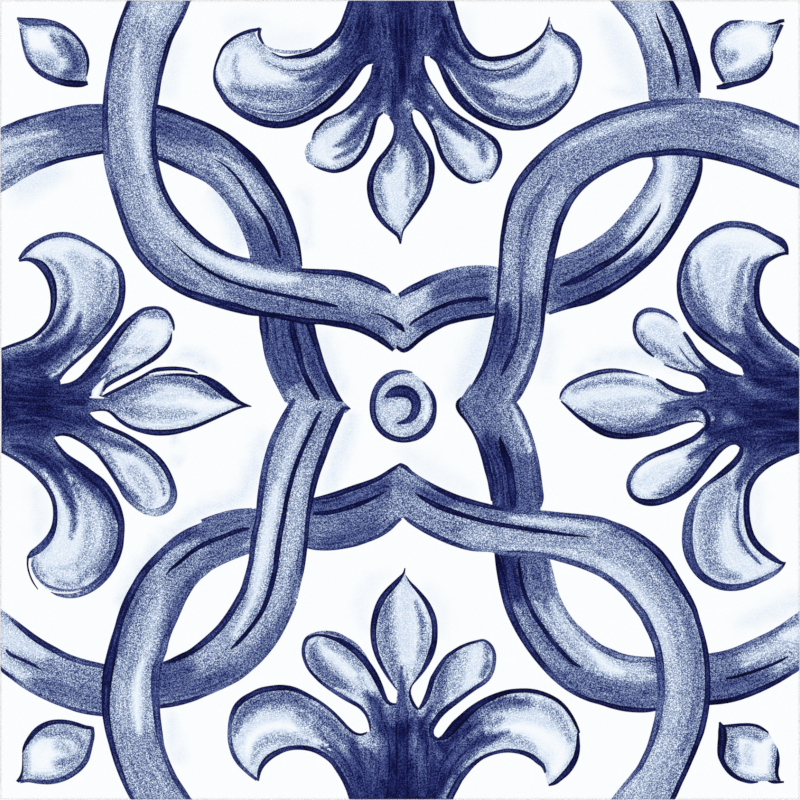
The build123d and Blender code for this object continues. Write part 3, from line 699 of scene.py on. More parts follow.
rightPalmette["washes"] = {
    "topPale": (5, [(712,243,7),(730,236,8),(752,237,8),(772,246,7)]),
    "topCentre": (15, [(722,256,12),(719,280,14),(722,302,10),(727,318,7)]),
    "topGrain": (44, [(698,262,2),(697.5,276,4.4),(699.5,290,6),(705,303,6),(712,314,5)]),
    "topEdge": (65, [(689,256,2),(686,270,4),(686.5,286,5.5),(691,302,9),(699,316,12),(711,328,12)]),
    "topRim": (16, [(697,254,1.5),(693.8,268,2.2),(694.6,282,1.5),(697,290,0.8)]),
    "topFold": (46, [(749,258,2),(743,268,4),(739.6,282,5.6),(737,297,6.6),(734.6,311,7.4),(736,324,7)]),
    "topShade": (72, [(706,326,8),(720,335,8),(736,340,11),(752,345,14)]),
    "topShadeRight": (71, [(746,306,4),(750,322,7),(757,336,9),(768,350,12),(786,362,13)]),
    "topShadeLow": (80, [(742,352,5),(756,363,7),(772,373,7),(800,376,8)]),
    "topTongue": (22, [(716,304,6),(719,316,5.5),(724,325,3.5),(728,330,2)]),
    "topBand": (66, [(768,257,2),(757,265,4),(751.5,277,4.5),(750.5,290,5),(753,305,5),(757,318,4)]),
    "topRimLight": (5, [(752,259,0.8),(748,268,1.6),(746,277,1.8),(745.5,286,0.8)]),
    "topCrease": (80, [(743,318,1.5),(748,330,3),(756,344,4),(768,358,4),(786,370,4)]),
    "topSliver": (24, [(755.5,310,0.8),(761,322,1.6),(769,333,1.8),(779,342,1.7),(792,351.5,1.5),
     (803,357.5,1.2)]),
    "core": (88, [(726,402,8),(745,409,20),(768,415,33),(790,415,38),(808,413,40)]),
    "coreLow": (86, [(730,434,8),(744,440,11),(760,446,15),(780,443,16),(806,438,16)]),
    "coreNeck": (80, [(700,398,7),(712,398,8),(726,400,12),(744,400,12)]),
    "coreSpot": (66, [(750,372,1),(757,371,4),(764,373,2)]),
    "petalWhite": (4, [(641,324,3),(647,317,4),(657,318,3),(668,324,2)]),
    "petalLight": (13, [(652,328,6),(664,333,8),(676,341,7),(686,348,4)]),
    "petalGrain": (42, [(641,332,2.5),(645,341,4.5),(654,348,6),(668,356,6.5)]),
    "petalShade": (46, [(674,361,4),(684,366,4),(694,370,4)]),
    "petalPale": (22, [(684,352,2.5),(692,358,3.5),(698,364,1.5)]),
    "petalNeck": (82, [(706,372,6),(716,378,8),(734,386,10)]),
    "coreBase": (80, [(712,384,7),(718,400,11),(716,416,10),(714,430,8),(726,434,8)]),
    "coreTop": (86, [(738,357,5),(746,368,10),(758,378,12),(778,384,12),(806,386,14)]),
    "leafNeck": (76, [(666,408,5),(680,407,9),(694,405,11),(708,402,10)]),
    "leafWhite": (3, [(604,376.5,0.8),(620,376,2),(636,376.8,2.2),(652,380.5,2)]),
    "leafGrainTop": (42, [(568,394.5,1.5),(576,390,3),(586,386,4.2),(600,382.8,4.8),(618,381,4.5),
     (634,383,3.5)]),
    "leafGrainFar": (28, [(634,383,3),(650,385.5,4.5),(662,391.5,4),(670,398,3)]),
    "leafLight": (8, [(566,399,2),(580,395,4),(600,393,7),(622,393,8),(640,394,6)]),
    "leafBand": (68, [(596,425,2.5),(610,428.5,4.5),(626,430,6),(644,427.5,7.5),(660,421.5,9),(676,415,9),
     (690,412,7)]),
    "leafGrain": (40, [(574,409,2),(583,414,4.5),(594,416,6),(606,420,6),(624,421,5.5),(642,416,6)]),
    "leafSoft": (20, [(592,405,4),(606,407,7),(624,407,8),(642,404,7),(654,400,4)]),
    "capInside": (60, [(692,413,3),(698,415,3)]),
    "leafTick": (6, [(697,412,0.8),(700.5,415,1.5),(702.5,418.5,0.8)]),
    "coreTick": (22, [(710,419.5,0.8),(715,418.7,0.6)]),
    "lowPale": (4, [(640,472,4),(648,464,5),(662,458,5),(678,453,3)]),
    "lowSoft": (10, [(644,484,7),(658,475,8),(672,467,6)]),
    "lowGrain": (30, [(662,488,3),(673,482,5),(684,473,6),(692,464,5)]),
    "lowEdge": (60, [(652,496,1.5),(666,493,3),(680,486,4),(692,475,5),(701,463,6),(709,452,6)]),
    "lowStreak": (76, [(690,457,3),(697,451.5,5.5),(706,446.5,7.5),(718,440,8)]),
    "lowSliver": (16, [(684,450,0.8),(692,446.5,1.8),(700,442.5,1.6),(706,438.5,0.8)]),
    "lowNeck": (84, [(710,432,8),(726,430,9),(742,432,12)]),
    "leafDeep": (76, [(756,456,12),(748,468,9),(740,480,6),(737,489,3)]),
    "leafStipple": (40, [(727,482,7),(720,494,12),(713,508,13),(709,526,12),(708,546,11),(712,562,9),
     (724,574,6),(738,577,4)]),
    "leafPale": (9, [(731,508,3),(728,524,6),(729,540,8),(736,554,9),(748,566,8),(764,569,5)]),
    "leafFine": (30, [(732,494,4),(731,506,4),(733,520,2)]),
    "foldShade": (40, [(734.5,512,1.5),(735,526,2.5),(739,540,3),(746,552,3)]),
    "leafSliver": (4, [(743,496,0.6),(742.2,508,1.2),(742.6,522,1.2),(746,536,1.2),(753,548.5,1.4),
     (763,558,1.4),(771,564,0.8)]),
}

leftPalmette = {
    "flow": [[(-8, 398), (60, 402), (110, 403)], [(-8, 372), (50, 382), (110, 360)],
             [(-8, 352), (40, 350), (80, 306)], [(-8, 426), (50, 422), (110, 448)],
             [(-8, 446), (40, 452), (84, 498)]],
    "fill": 8,
    "bleed": (26, 5),
    "area": ["topHollow", "topTip", "topLeaf", "topPetal", "topPetalEdge", "topPetalFoot",
             "leafTop", "leafShoulder", "leafFoot", "lowPetal", "lowLeaf", "lowTip", "lowHollow", "edge"],
    "guides": {
        "topTip": [(18.5, 260)],
        "topPetalEdge": [(173, 332)],
        "lowTip": [(43, 586), (35, 577), (31, 568), (30.5, 559)],
        "edge": [(1.3, 450), (1.3, 350)],
    },
}
leftPalmette["lines"] = {
    "topHollow": (88, [(1.3,349.5,4),(12,345.5,4.3),(24,341.3,4.5),(33,337.2,5),(40.3,331.2,5.5),
     (46.8,323.7,5.7),(51.3,314.7,6.2),(53.5,304,7.5),(53.6,293,8.3),(51.8,283,9.3),(47.8,273.5,9.7),
     (41.8,265.7,9.5),(34.3,261,7),(27,259.3,5),(19,261,2.5)]),
    "topLeaf": (80, [(19,259.5,3.5,85),(24.3,252.8,6),(30,247.3,6.7),(38,242,6.5,73),(47,237.6,6.7,71),
     (57,235,6.8,70),(67,234.8,6.8,70),(77.3,237.2,6.3,70),(87.5,241.8,5.7,74),(97.3,247.5,4.7,80),
     (106,253.3,4,87),(112.5,258.7,4.6,88),(117.6,265.7,6,88),(121,274.5,7.4,85),(122.3,286,8,85),
     (121.6,298,8,85),(118.8,309,8.2,85),(114,318.5,8.4,85),(108,327.7,8.4,85),(101,336,8,85),
     (94.5,343.2,7.2,84),(88,350,6,86),(82.5,355,5.2),(77.5,359.5,5,86),(72.5,364,4.8,86),
     (67.3,368.8,4.8,86),(62.5,374.5,4.2,86),(60,379.5,2.5,86)]),
    "topPetal": (87, [(61,385,2.5),(70.5,384.3,5.5),(80,380.5,8),(88.5,373.5,10),(95.5,365,10.6),
     (102,356.5,10.6),(108.3,347.7,10),(114.5,339,9.5),(121,330.3,8.8),(127.5,322.7,7.8),(134.7,316,6.5),
     (143,310,5.5),(152,307.9,4.7),(160,308.3,4.2),(167,312,4.3),(171.6,319,4),(173.7,326,3.4),
     (174,330.5,1.5)]),
    "topPetalFoot": (88, [(171.8,333,1.5),(170,341,4.2),(165.3,348.3,5.7),(158.3,354.9,6.6),(151,360.5,6.2),
     (144,364.6,5.6),(136,369.5,5.5),(127,374,5.3),(118,378.6,5.3),(110.3,383,5.2),(105.3,387.2,4.3),
     (103.3,391.8,2)]),
    "leafTop": (90, [(101.5,397,2.5),(108,394,4),(119,388.7,4.6),(130,383,4.4),(140,377.8,4),
     (148,373.4,4.4),(156,369.9,5.4),(165,368.8,5.4),(175,368.5,5.4),(185,369.4,5),(192,370.8,4),
     (198,373,1.8)]),
    "leafFold": (90, [(154,376.8,1),(165,375.3,2.3),(178,374.6,3.6),(190,375,5.2),(198,376.4,6.3)]),
    "leafShoulder": (90, [(196,376,6),(202.5,377.8,7.5),(209,381,9),(215.5,385.3,10.2),(221.7,390,10.4),
     (227,394.3,9.7),(232.5,398.2,7.8),(238.5,402,5.8),(245,404.8,4),(251.5,406.3,1.3)]),
    "leafWhite": (3, [(149,374.4,0.8),(156,373.2,2.2),(168,372,2.8),(180,371.9,3),(191,373,2.6),
     (199,374.3,0.8)]),
    "leafFoot": (90, [(251.5,406.5,1.3),(246,406.2,3),(238,408,3.8),(230,411.4,4),(220,415.8,4.3),
     (210,420.3,4.7),(201,424.2,5),(192,427.6,5.6),(182,430.2,6.5),(172,432,7.2),(162,432.7,7.4),
     (152,432.3,7.2),(142,430.7,6.2),(133,428,5.4),(125,424,5.2),(118,418.8,4.8),(112.3,413.5,4.2),
     (106.5,410.4,3),(99,410.2,2.5),(92,411.7,1.2)]),
    "lowPetal": (88, [(89.5,413.5,1.5),(94,419.3,3.2),(102,424.7,5),(111,429,5.8),(120.5,433,6),
     (129.5,437.6,6),(138,442.8,6),(146,448.3,6.5),(153.3,454.3,7),(160,461.3,7.2),(165.7,469.3,7.2),
     (170,478,7.2),(173,487,7.4,84),(173.7,495.5,8.5,72),(171.3,503,9,62),(166.3,508.5,9.5,52),
     (159.3,511.8,9.5,36),(152,512.5,8.5,30),(144.5,510.5,8,40),(137.5,506.3,7.5,52),(131,500.7,7.5,66),
     (125,494,7.5,76),(119.8,486,5.8),(114.2,477.3,5.2),(108.7,468.6,5),(103,460.7,5),(97.5,453.5,4.8),
     (91,447.8,4.6),(84.5,443,4.6),(77,438.7,4.6),(69.5,435.4,4.2),(62,434.4,3.8),(55.5,436,2.5)]),
    "lowLeaf": (88, [(54,439,2),(59,447.2,4.5),(65,454.8,6.4),(72,460.8,8),(81.2,467.6,9.6),
     (90.8,475.2,10.4),(101,483.7,11.4),(109.3,494.7,11.2),(116.2,507,10.4),(120,518.5,9.2),
     (121.3,527,8.2),(121,536.5,7.8),(119.7,547,8.2),(116.3,557.5,8.6),(111.3,567.5,9,82),
     (104.5,576.5,9.5,78),(96,584.3,9.8,72),(87,590.3,9,66),(77,594.3,8,60),(67,595.5,6.7,60),
     (58,594.3,5,72),(51,591.6,2,85)]),
    "lowHollow": (86, [(28,557.5,4),(32.5,553.3,7.7,78),(39,549,9,74),(45.5,542.7,9,76),(51,534.7,8,82),
     (54.3,525.5,6.8),(55.3,515,6),(54.6,505,6),(52,496,6),(47,487.2,6),(40.4,479.2,6),(32.7,471.4,5.6),
     (24.2,464.4,5.4),(13.7,457.7,5),(1.3,451,4)]),
    "lowTipLine": (92, [(28,556.5,3),(27.6,565,2.4),(29.2,573,2.3),(32.7,581.5,2.2),(38,589.5,1.2)]),
    "lowInner": (60, [(34.5,557,1.5),(32.7,564,3.4),(34.7,572,4),(39.3,579,3.7),(46.3,585,3.5),(56,588.8,3),
     (66,590.2,2.6),(77,589.3,2),(86,586.3,1)]),
    "lowWhiteArc": (3, [(46,588.7,0.8),(54,592,1.7),(64,593,1.7),(74,592.4,1.7),(82,590,0.8)]),
    "notch": (5, [(105.5,378,0.8),(102.5,382,4.5),(99,387.5,8),(96,392.5,9.5),(95,396.5,8)]),
    "notchFoot": (5, [(89.5,397.3,1),(95,396.8,3.8),(104,398,1.5)]),
    "notchTick": (8, [(101,377.7,0.8),(105.3,373.8,1.3),(110,370.5,0.8)]),
    "edgeLine": (96, [(1.8,348,1.6),(1.8,375,1.6),(1.8,425,1.6),(1.8,452,1.6)]),
}
leftPalmette["washes"] = {
    "topPale": (6, [(36,250,4),(48,246,6),(62,246,7),(76,252,7)]),
    "topSoft": (20, [(72,256,7),(84,268,11),(89,284,13),(88,302,12),(84,316,7)]),
    "topCrescent": (44, [(44,258.5,1.5),(54,263,4),(62,271,6),(66.5,283,7),(67,296,7),(65,308,5)]),
    "topCrescentRim": (8, [(50,257,1),(62,262,1.8),(70,271,2),(74.5,283,2),(75.5,297,2),(73,310,1.6)]),
    "topHollowRim": (14, [(56.5,270,0.8),(59.5,280,1.6),(60.5,290,1.8),(60,300,1)]),
    "topGrain": (36, [(98,262,4),(102,276,7),(103,292,9),(99,308,9),(92,320,7)]),
    "topEdge": (52, [(112,270,1.5),(114,281,3),(113.5,294,4),(109,308,5.5),(102,320,7)]),
    "topRimRight": (18, [(112,262,0.8),(117,272,1),(118,284,0.8)]),
    "topShade": (62, [(104,320,6),(93,331,9),(82,341,9)]),
    "topDeep": (78, [(80,316,3),(76,328,5),(70,339,8),(60,349,11),(44,357,13),(24,361,12),(4,368,10)]),
    "topStreak": (78, [(67.5,301,2),(64,312,4.5),(57,324,6),(48,334,5),(40,341,3)]),
    "topStreakLight": (30, [(73,306,1),(69,318,1.5),(63,329,1.5),(57,338,0.8)]),
    "topSliver": (12, [(53.5,316,0.8),(49.5,324,1.3),(43,332,1.4),(35,338.3,1.4),(26,342.8,1)]),
    "topSliverFar": (34, [(28,344,1.5),(18,348.5,2.2),(8,352.5,2.2),(1,355.5,1.5)]),
    "core": (87, [(-4,404,52),(18,406,56),(36,406,58),(54,400,52),(66,403,40)]),
    "coreNeck": (82, [(66,392,18),(80,394,13),(92,398,8)]),
    "coreNeckLow": (84, [(64,412,16),(80,419,11),(94,426,7)]),
    "topSliverLow": (3, [(89,347,0.7),(80,353.1,1.3),(70,360.8,1.6),(60,370.5,2),(51,376.5,1.5)]),
    "coreStreaks": (76, [(20,416,1),(40,419,2),(60,424,1)]),
    "sliverGrain": (56, [(78,350,2),(66,359,3),(54,368,3.5),(47,373,2)]),
    "petalStem": (74, [(80,389,6),(88,383,8),(98,373,8),(106,362,5),(113,350,3)]),
    "petalPale": (5, [(142,324,4),(156,326,6),(162,334,5),(154,342,6)]),
    "petalSoft": (10, [(126,341,6),(138,336,7),(148,342,6)]),
    "petalGrainTop": (50, [(138,315.5,2.5),(148,313.7,4),(158,313.7,4),(165,317,2.5)]),
    "petalGrain": (24, [(114,356,5),(126,352,6),(140,351,5),(150,349,3)]),
    "petalDeep": (46, [(114,352,3),(121,340.5,3.5),(129,329.5,3.5),(137,320.5,3)]),
    "petalStreak": (70, [(127,365,0.6),(118,368.5,1.6),(110,373,2.2),(103,380,2.6),(98,386,2)]),
    "petalTick": (16, [(126,368,0.6),(117,372,1),(109,376.5,0.8)]),
    "leafNeck": (64, [(92,403,5),(102,402,6),(112,400,7),(122,395,8),(134,389,7),(146,383,5)]),
    "leafGrainTop": (57, [(148,381,4),(160,380,5),(176,380,5.5),(192,383,5.5),(204,389,5.5),(214,395,4.5),
     (222,399,2)]),
    "leafSoft": (38, [(124,402,5),(136,397,6),(148,392,5),(160,389,2)]),
    "leafLight": (12, [(156,398,4),(168,393,6),(184,394,6),(198,399,4)]),
    "leafPale": (4, [(178,400,2),(190,402,4),(206,404,5),(222,404,4),(234,404,2)]),
    "leafGrain": (44, [(113,407,3),(124,409,7),(138,412,8),(150,413,7)]),
    "leafGrainFar": (28, [(150,413,7),(166,415,7),(182,414,5.5),(196,413,2)]),
    "lowStem": (68, [(86,434,7),(100,438,7.5),(112,442,6.5),(124,446,5.5),(136,451,4.5)]),
    "lowEdge": (48, [(138,453,4),(149,461,4),(157,471,3.6),(162,482,2.6),(163.5,494,1)]),
    "lowPale": (10, [(108,448,2),(120,460,4),(130,470,6),(140,480,7),(148,492,7)]),
    "lowGrain": (24, [(132,470,6),(142,482,7),(150,494,6),(148,504,4)]),
    "lowInnerGrain": (58, [(98,446,4),(106,456,5),(113,469,5),(120,481,4.6),(128,491,4.4),(138,500,3.4)]),
    "lowWhite": (8, [(97,443,0.8),(107,456,1.2),(115,470,1.2),(121,481,0.8)]),
    "leafFar": (8, [(53,484,2),(60,498,4),(64,516,6),(63,536,7),(56,554,8),(45,564,6)]),
    "leafSoftLow": (16, [(48,572,5),(62,572,8),(78,566,9),(88,552,9),(90,534,8)]),
    "leafGrainMid": (27, [(80,484,4),(85,500,7),(89,516,7),(90,534,6),(86,552,5),(78,566,4)]),
    "leafGrainDeep": (42, [(96,496,5),(104,510,6),(107,524,6.5),(107,542,6.5),(102,557,6.5),(92,570,6),
     (80,579,4)]),
    "leafBandRight": (62, [(113,520,2),(115,534,3.4),(113,548,4),(108,560,4.4),(99,572,4.4)]),
    "leafTongueWest": (80, [(46,460,4),(56,474,5),(64,490,4.6),(69,504,3)]),
    "coreLight": (74, [(66,408,3),(80,411,5),(92,416,4)]),
    "leafShade": (78, [(66,464,6),(80,475,9),(92,485,8),(103,498,6)]),
    "leafInnerShade": (66, [(100,492,5),(109,504,5),(114,518,4)]),
    "leafStem": (84, [(16,448,7),(34,456,11),(50,464,13),(60,474,9),(65,486,5)]),
    "leafStreak": (74, [(60,476,4),(66,486,6),(70.5,497,6),(73,509,4.7),(73.7,521,3.4),(72,534,1.8),
     (68,545,0.8)]),
    "leafSliver": (5, [(41,469,0.8),(48.5,478,1.4),(55,488,1.8),(59.5,499,2),(61,508,1)]),
    "leafStreakLight": (12, [(64,470,0.6),(71,481,1.1),(76,492,1.2),(78.5,503,0.8)]),
    "leafStreakDark": (80, [(72,478,0.8),(77,490,1.4),(79.5,503,0.8)]),
    "hollowGrain": (52, [(10,453,1.5),(22,459,2.5),(32,466,3),(41,475,2.6),(48,484,1.5)]),
    "leafBottom": (34, [(56,582,2.5),(68,584.5,3),(80,583,3)]),
    "leafTipGrain": (36, [(38,562,2.5),(39,571,3),(46,579,2.5)]),
    "leafTipShade": (16, [(42,556,2.5),(50,548,2.5)]),
}

bottomPalmette = {
    "weight": 0.9,
    "flow": [[(402, 808), (402, 740), (402, 660)], [(380, 808), (384, 750), (372, 700)],
             [(362, 808), (356, 768), (322, 726)], [(424, 808), (422, 750), (432, 716)],
             [(440, 808), (446, 768), (482, 726)]],
    "fill": 8,
    "bleed": (26, 5),
    "area": ["leftHollow", "leftTip", "leftSide", "leftLeaf", "leftPetal", "leftPetalEdge",
             "leftPetalTop", "leafLeft", "leafTip", "leafRight", "rightPetal", "rightLeaf",
             "rightTip", "rightMouth", "rightHollow", "edge"],
    "guides": {
        "leftTip": [(257.5, 780)],
        "leftPetalEdge": [(317, 634.5)],
        "leafTip": [(405, 567)],
        "rightMouth": [(546, 779)],
        "edge": [(448, 806), (350, 806)],
    },
}
bottomPalmette["lines"] = {
    "leftHollow": (88, [(353,804,7),(348.6,790,7),(343.8,779.5,6.8),(337.8,769.5,7),(331.8,761.2,7),
     (323.6,754.8,7),(315,750.3,7),(306,748,6.8),(296,747.5,6.6),(286,749,6.8),(277.3,752.5,7.6),
     (269.3,757.3,8.2),(262.8,764.3,7.2),(259.3,772,5.6),(258,781,3)]),
    "leftSide": (68, [(257,779.7,4.6,85),(250.7,775,5,80),(244.7,769.6,5.4,73),(238.8,763.2,6,80),
     (234.2,755.8,6.2,78),(231.3,747.2,6.4,74),(229.8,738.5,6.4,70),(229.6,730,6,68)]),
    "leftLeaf": (92, [(229.6,730,6,68),(230.4,722,6.2,74),(232.7,713.8,7,82),(236.6,706,7.6,88),
     (243.2,699.6,7.8),(251.7,694.7,7.8),(260.8,690.5,7.8),(271,688.5,7.8),(281,687.5,7.6),(291,688.5,7),
     (300,691.5,6.4),(309,696,5.8),(318,701,4.8,88),(326.3,706.8,4.6,86),(334,713.5,4.8,86),
     (341,720.7,5,86),(348,728,4.6,88),(354.5,733,4.2),(361,734.6,3.8),(367.3,732.3,2.4)]),
    "leftPetal": (85, [(370.5,731,2.5),(369.3,722.5,3.8),(366,714,4.8),(360,707,5.6),(353,702.6,6,88),
     (345,698.3,6,83),(336.6,693,5.8,81),(328.7,687.8,5.4,82),(321,682,4.8),(314.8,676,4.6),
     (309.3,669.5,4.6),(305.6,662,5),(303.5,654,5.4),(303.8,646,5.4),(306.5,639.3,6,88),(311.5,635.8,6,90),
     (317.5,634.4,5,90)]),
    "petalFringe": (58, [(308,635.5,1.5),(317,632.6,3),(327,632.4,5),(337,634.4,6),(347,639.5,6),
     (356,645.7,6),(364,654.5,4),(370,663,1.5)]),
    "leftPetalTop": (92, [(317,634.8,3.4),(325,635.8,5),(333,638,6),(341,641.3,7.2),(349,646.3,8),
     (357,652.7,8.6),(364,660,8.8),(370.3,668.3,9),(375.7,677.3,8.8),(380,686.3,8),(383.3,694.3,7),
     (386.6,700.8,6),(391,704,4.6),(396,704,2.5)]),
    "petalLoop": (58, [(318,641,1),(313,644.4,2.4),(310.6,650,2.4),(311,657,1)]),
    "leafLeft": (90, [(397.5,690.5,1.5,76),(393,684,3.4,80),(387.7,676,4.8,82),(382.7,667.5,5.8,86),
     (378.4,658.5,6.6),(375.2,648.5,7.4),(373.5,638,7.9),(373.5,627,8.2),(375.3,616,8.5),(378.6,606,8.8),
     (383,597.6,8.8),(388.9,590.2,8.4),(395,583.9,7.6),(400.2,578,6),(403.6,573.4,3.4),(405,568,2)]),
    "leafRight": (90, [(405.5,575,1),(409.8,581.8,3),(415,587.8,4.8),(420.8,594.6,6),(426.2,602,7),
     (430.7,610.8,7.8),(434,620.7,7.8),(434.8,632,7.8),(434,643,8),(431,653.3,8.7),(427.3,662.4,7.4),
     (422.7,670.8,5.6),(416.7,679,3.6),(412,685.3,2.4),(409.8,692,3.4),(411.3,699.5,4.8),(414.7,706,4.8),
     (418.6,709.6,3)]),
    "rightPetal": (85, [(419,709.3,3.5,90),(423.8,703,6.8,90),(427.3,695.5,7.4,90),(430,687.5,7.4,90),
     (432.5,679,7.2,90),(436.6,671.4,6.8,90),(441.2,664,6.4,90),(446.5,656.9,5.6,90),(453.8,651.3,5,90),
     (461.3,646.8,4.8,88),(469.2,643.5,4.4,84),(476.6,641.4,4,84),(483.2,640.2,3.8,84),(488.2,642.8,4.2),
     (492.2,647.6,4.6),(494.5,655,5,80),(494,664,5.4,70),(491.7,672.5,5.8,66),(487.7,679,6.2,68),
     (482,683.6,6.6,76),(475.2,688,6.2,82),(468.4,692.8,6.2),(460.8,698.2,6.8,82),(453.3,703.7,7.4,82),
     (446.1,709.1,7.8,88),(439.5,715.5,8,88),(434.4,722.8,8,88),(431.2,730,7.4,88),(433,736.5,6,88),
     (438.5,740,5,88)]),
    "rightLeaf": (96, [(438,739.5,4),(444,737,8),(450,731.7,11),(456,724.8,11.8),(462.8,718.2,11),
     (470.4,711.1,10),(478.6,704.8,8.8),(487.5,699.6,8),(497.4,695.2,7.2),(508,692,6.8),(520,690.6,6.4),
     (532,691,6.4),(543,693.6,6.2),(553,697.9,6),(561.3,703.6,5.8),(568,711,5.4),(573.5,719.8,5),
     (577.7,728.5,4),(579.7,733,2)]),
    "rightTip": (95, [(578,731.5,2.4),(578,739,5),(577.8,748,6.6),(575.8,757,7.6),(571.8,765,8.4),
     (566.4,772.2,8.4),(560.4,778,7.2),(554.8,782.8,6),(548.5,785.3,3)]),
    "rightHollow": (87, [(545.5,773,3),(543,766,6),(538.4,761.8,7),(532.4,756.9,7.2),(524.6,753.2,6.8),
     (516,751.2,6.2),(507,750.6,6),(498,751.9,5.4),(489,754.6,5.2),(481,758.5,5.4),(473,764.6,6.4),
     (466.3,771.3,7.6),(460,779,8.4),(455,788,8.8),(450.7,796,9),(448,804,9)]),
}
bottomPalmette["washes"] = {
    "leftPale": (12, [(240,742,5),(246,728,6),(258,719,6),(274,716,6),(290,717,5)]),
    "leftWhite": (3, [(254,762,2),(248,748,3.5),(254,735,4),(268,727,4.5),(284,725,4.5),(296,729,2)]),
    "leftCrescent": (32, [(252,764,2),(257,751,5),(266,741.5,6),(280,738.5,6.5),(296,738,5),(308,741,3)]),
    "leftGrain": (54, [(235,734,3),(238,721,5.5),(246,712,7.5),(256,706,6)]),
    "leftTopBand": (60, [(239,722,2),(245,709,6),(258,701.5,9),(272,698,11),(288,699,11),(304,704,9)]),
    "leftMidGrain": (50, [(300,716,6),(312,727,8),(324,736,8),(334,746,6)]),
    "leftLightGrain": (24, [(298,720,4),(306,728,6),(314,737,4)]),
    "leftShade": (62, [(306,706,4),(320,714,7),(334,726,8),(346,738,9)]),
    "leftLowShade": (74, [(322,747,3),(334,752,8),(346,764,10),(354,782,9),(362,802,8)]),
    "core": (88, [(398,742,16),(398,762,30),(398,786,46),(398,812,54)]),
    "coreLeft": (80, [(352,742,6),(357,758,10),(362,780,12),(367,806,14)]),
    "coreRight": (88, [(440,745,7),(450,756,13),(446,780,14),(440,806,16)]),
    "coreEast": (85, [(422,726,5),(425,740,9),(429,758,9),(432,776,9),(430,800,9)]),
    "farDeep": (82, [(450,744,7),(462,732,10),(474,721,9)]),
    "coreTop": (80, [(376,712,6),(384,728,12),(396,730,16),(410,726,14),(424,722,8)]),
    "coreMid": (87, [(402,704,3),(402,722,5),(402,742,8)]),
    "coreLightA": (68, [(414,704,1.5),(415,716,3),(416,727,1.5)]),
    "coreLightB": (72, [(431,752,1),(429,762,1.6),(427,774,1)]),
    "coreLightC": (46, [(454,776,1),(449,786,3),(445,798,3)]),
    "coreLightD": (50, [(371,730,2),(374,738,4),(376,747,1.5)]),
    "coreLightE": (58, [(391,704,2),(392,715,3),(392,724,1.5)]),
    "coreTick": (16, [(380,707,0.8),(383,714,1.4),(385,720,0.6)]),
    "coreLightF": (74, [(366,750,3),(378,764,5),(386,778,3)]),
    "leftSliver": (5, [(296,735.5,0.8),(306,737.5,1.2),(318,741,1.3),(326,745.5,1.3),(331,751,0.8)]),
    "petalPale": (7, [(326,650,2),(334,656,4),(344,666,5),(354,677,4),(361,686,2)]),
    "petalLight": (24, [(316,646,4),(318,654,5)]),
    "petalFar": (26, [(360,678,4),(364,690,5),(366,700,3)]),
    "petalLowLight": (24, [(350,682,4),(358,694,4)]),
    "petalGrain": (60, [(312,648,3),(315,660,6),(323,670,9),(334,681,9),(345,691,7)]),
    "petalGrainTop": (40, [(326,642,3),(338,648,5),(350,656,6),(360,667,5)]),
    "petalShade": (78, [(366,694,3),(376,704,9),(380,716,9)]),
    "petalSliver": (5, [(335,686.5,0.8),(344,691.5,1.3),(353,697.3,1.3),(360,703,0.8)]),
    "leafLight": (11, [(404,580,2),(405,596,7),(405,616,9),(404,636,9),(405,652,7)]),
    "leafGrainLeft": (50, [(393,592,2.5),(388,606,6),(386,622,8.6),(386,640,9),(390,656,8),(395,670,6)]),
    "leafWhiteRight": (5, [(413,589,1.5),(420.5,600,1.8),(425.6,612,1.6),(427.4,622,1)]),
    "leafStreakRight": (54, [(414,600,1.4),(419,612,2.6),(423,625,4),(424,640,5),(421,654,4)]),
    "leafGrainRight": (30, [(426,630,3),(425,646,4),(420,660,4),(414,672,4)]),
    "leafFoot": (50, [(394,668,5),(399,680,6)]),
    "leafNeck": (76, [(401,666,1),(401.6,678,2.6),(402,690,5.5),(402,702,8),(402,711,10)]),
    "leafNeckLight": (40, [(405.5,664,0.8),(407,676,1.4),(408,688,0.8)]),
    "rightPale": (10, [(482,652,5),(476,664,7),(466,676,6)]),
    "rightSoft": (26, [(464,656,6),(458,672,7),(456,690,6)]),
    "rightGrain": (58, [(456,655,3),(446,664,7),(441,678,9),(439,694,9),(436,708,7)]),
    "rightBand": (58, [(486,645,2.5),(488.5,655,4),(487,667,4),(482,676,3)]),
    "rightRim": (12, [(490.5,649,0.6),(491.3,657,1),(490,667,0.6)]),
    "rightShade": (74, [(430,708,4),(427,722,5)]),
    "farWhite": (3, [(506,728,3),(526,728,6),(545,738,9),(560,752,8),(556,770,6)]),
    "farBlue": (12, [(504,722,4),(518,715,6),(536,716,7),(550,724,6)]),
    "farGrainTop": (66, [(480,710,9),(494,705,9),(510,703,8),(528,702.5,6)]),
    "farSpeckle": (34, [(534,703,4),(546,707,5.5),(557,716,6),(565,728,5),(570,740,3)]),
    "farRim": (6, [(512,696,0.6),(526,695.5,1.4),(542,698,1.2),(552,702,0.6)]),
    "farShade": (70, [(472,717,7),(478,724,7),(480,732,4)]),
    "farGrain": (46, [(486,716,6),(492,724,5),(500,719,4)]),
    "farTongue": (78, [(450,765,8),(464,752,11),(477,743,10),(490,738.5,7),(500,735,3.6),(509,731,1)]),
    "farCrescent": (32, [(494,744,2),(505,740,4.5),(517,739.5,5),(528,744,4.5),(535,750,2)]),
    "farSliver": (12, [(470,762,1),(480,754,1.7),(490,749,1.7),(502,745.5,1)]),
}

# The ring in the middle and the four small leaves, one in each corner of the tile.

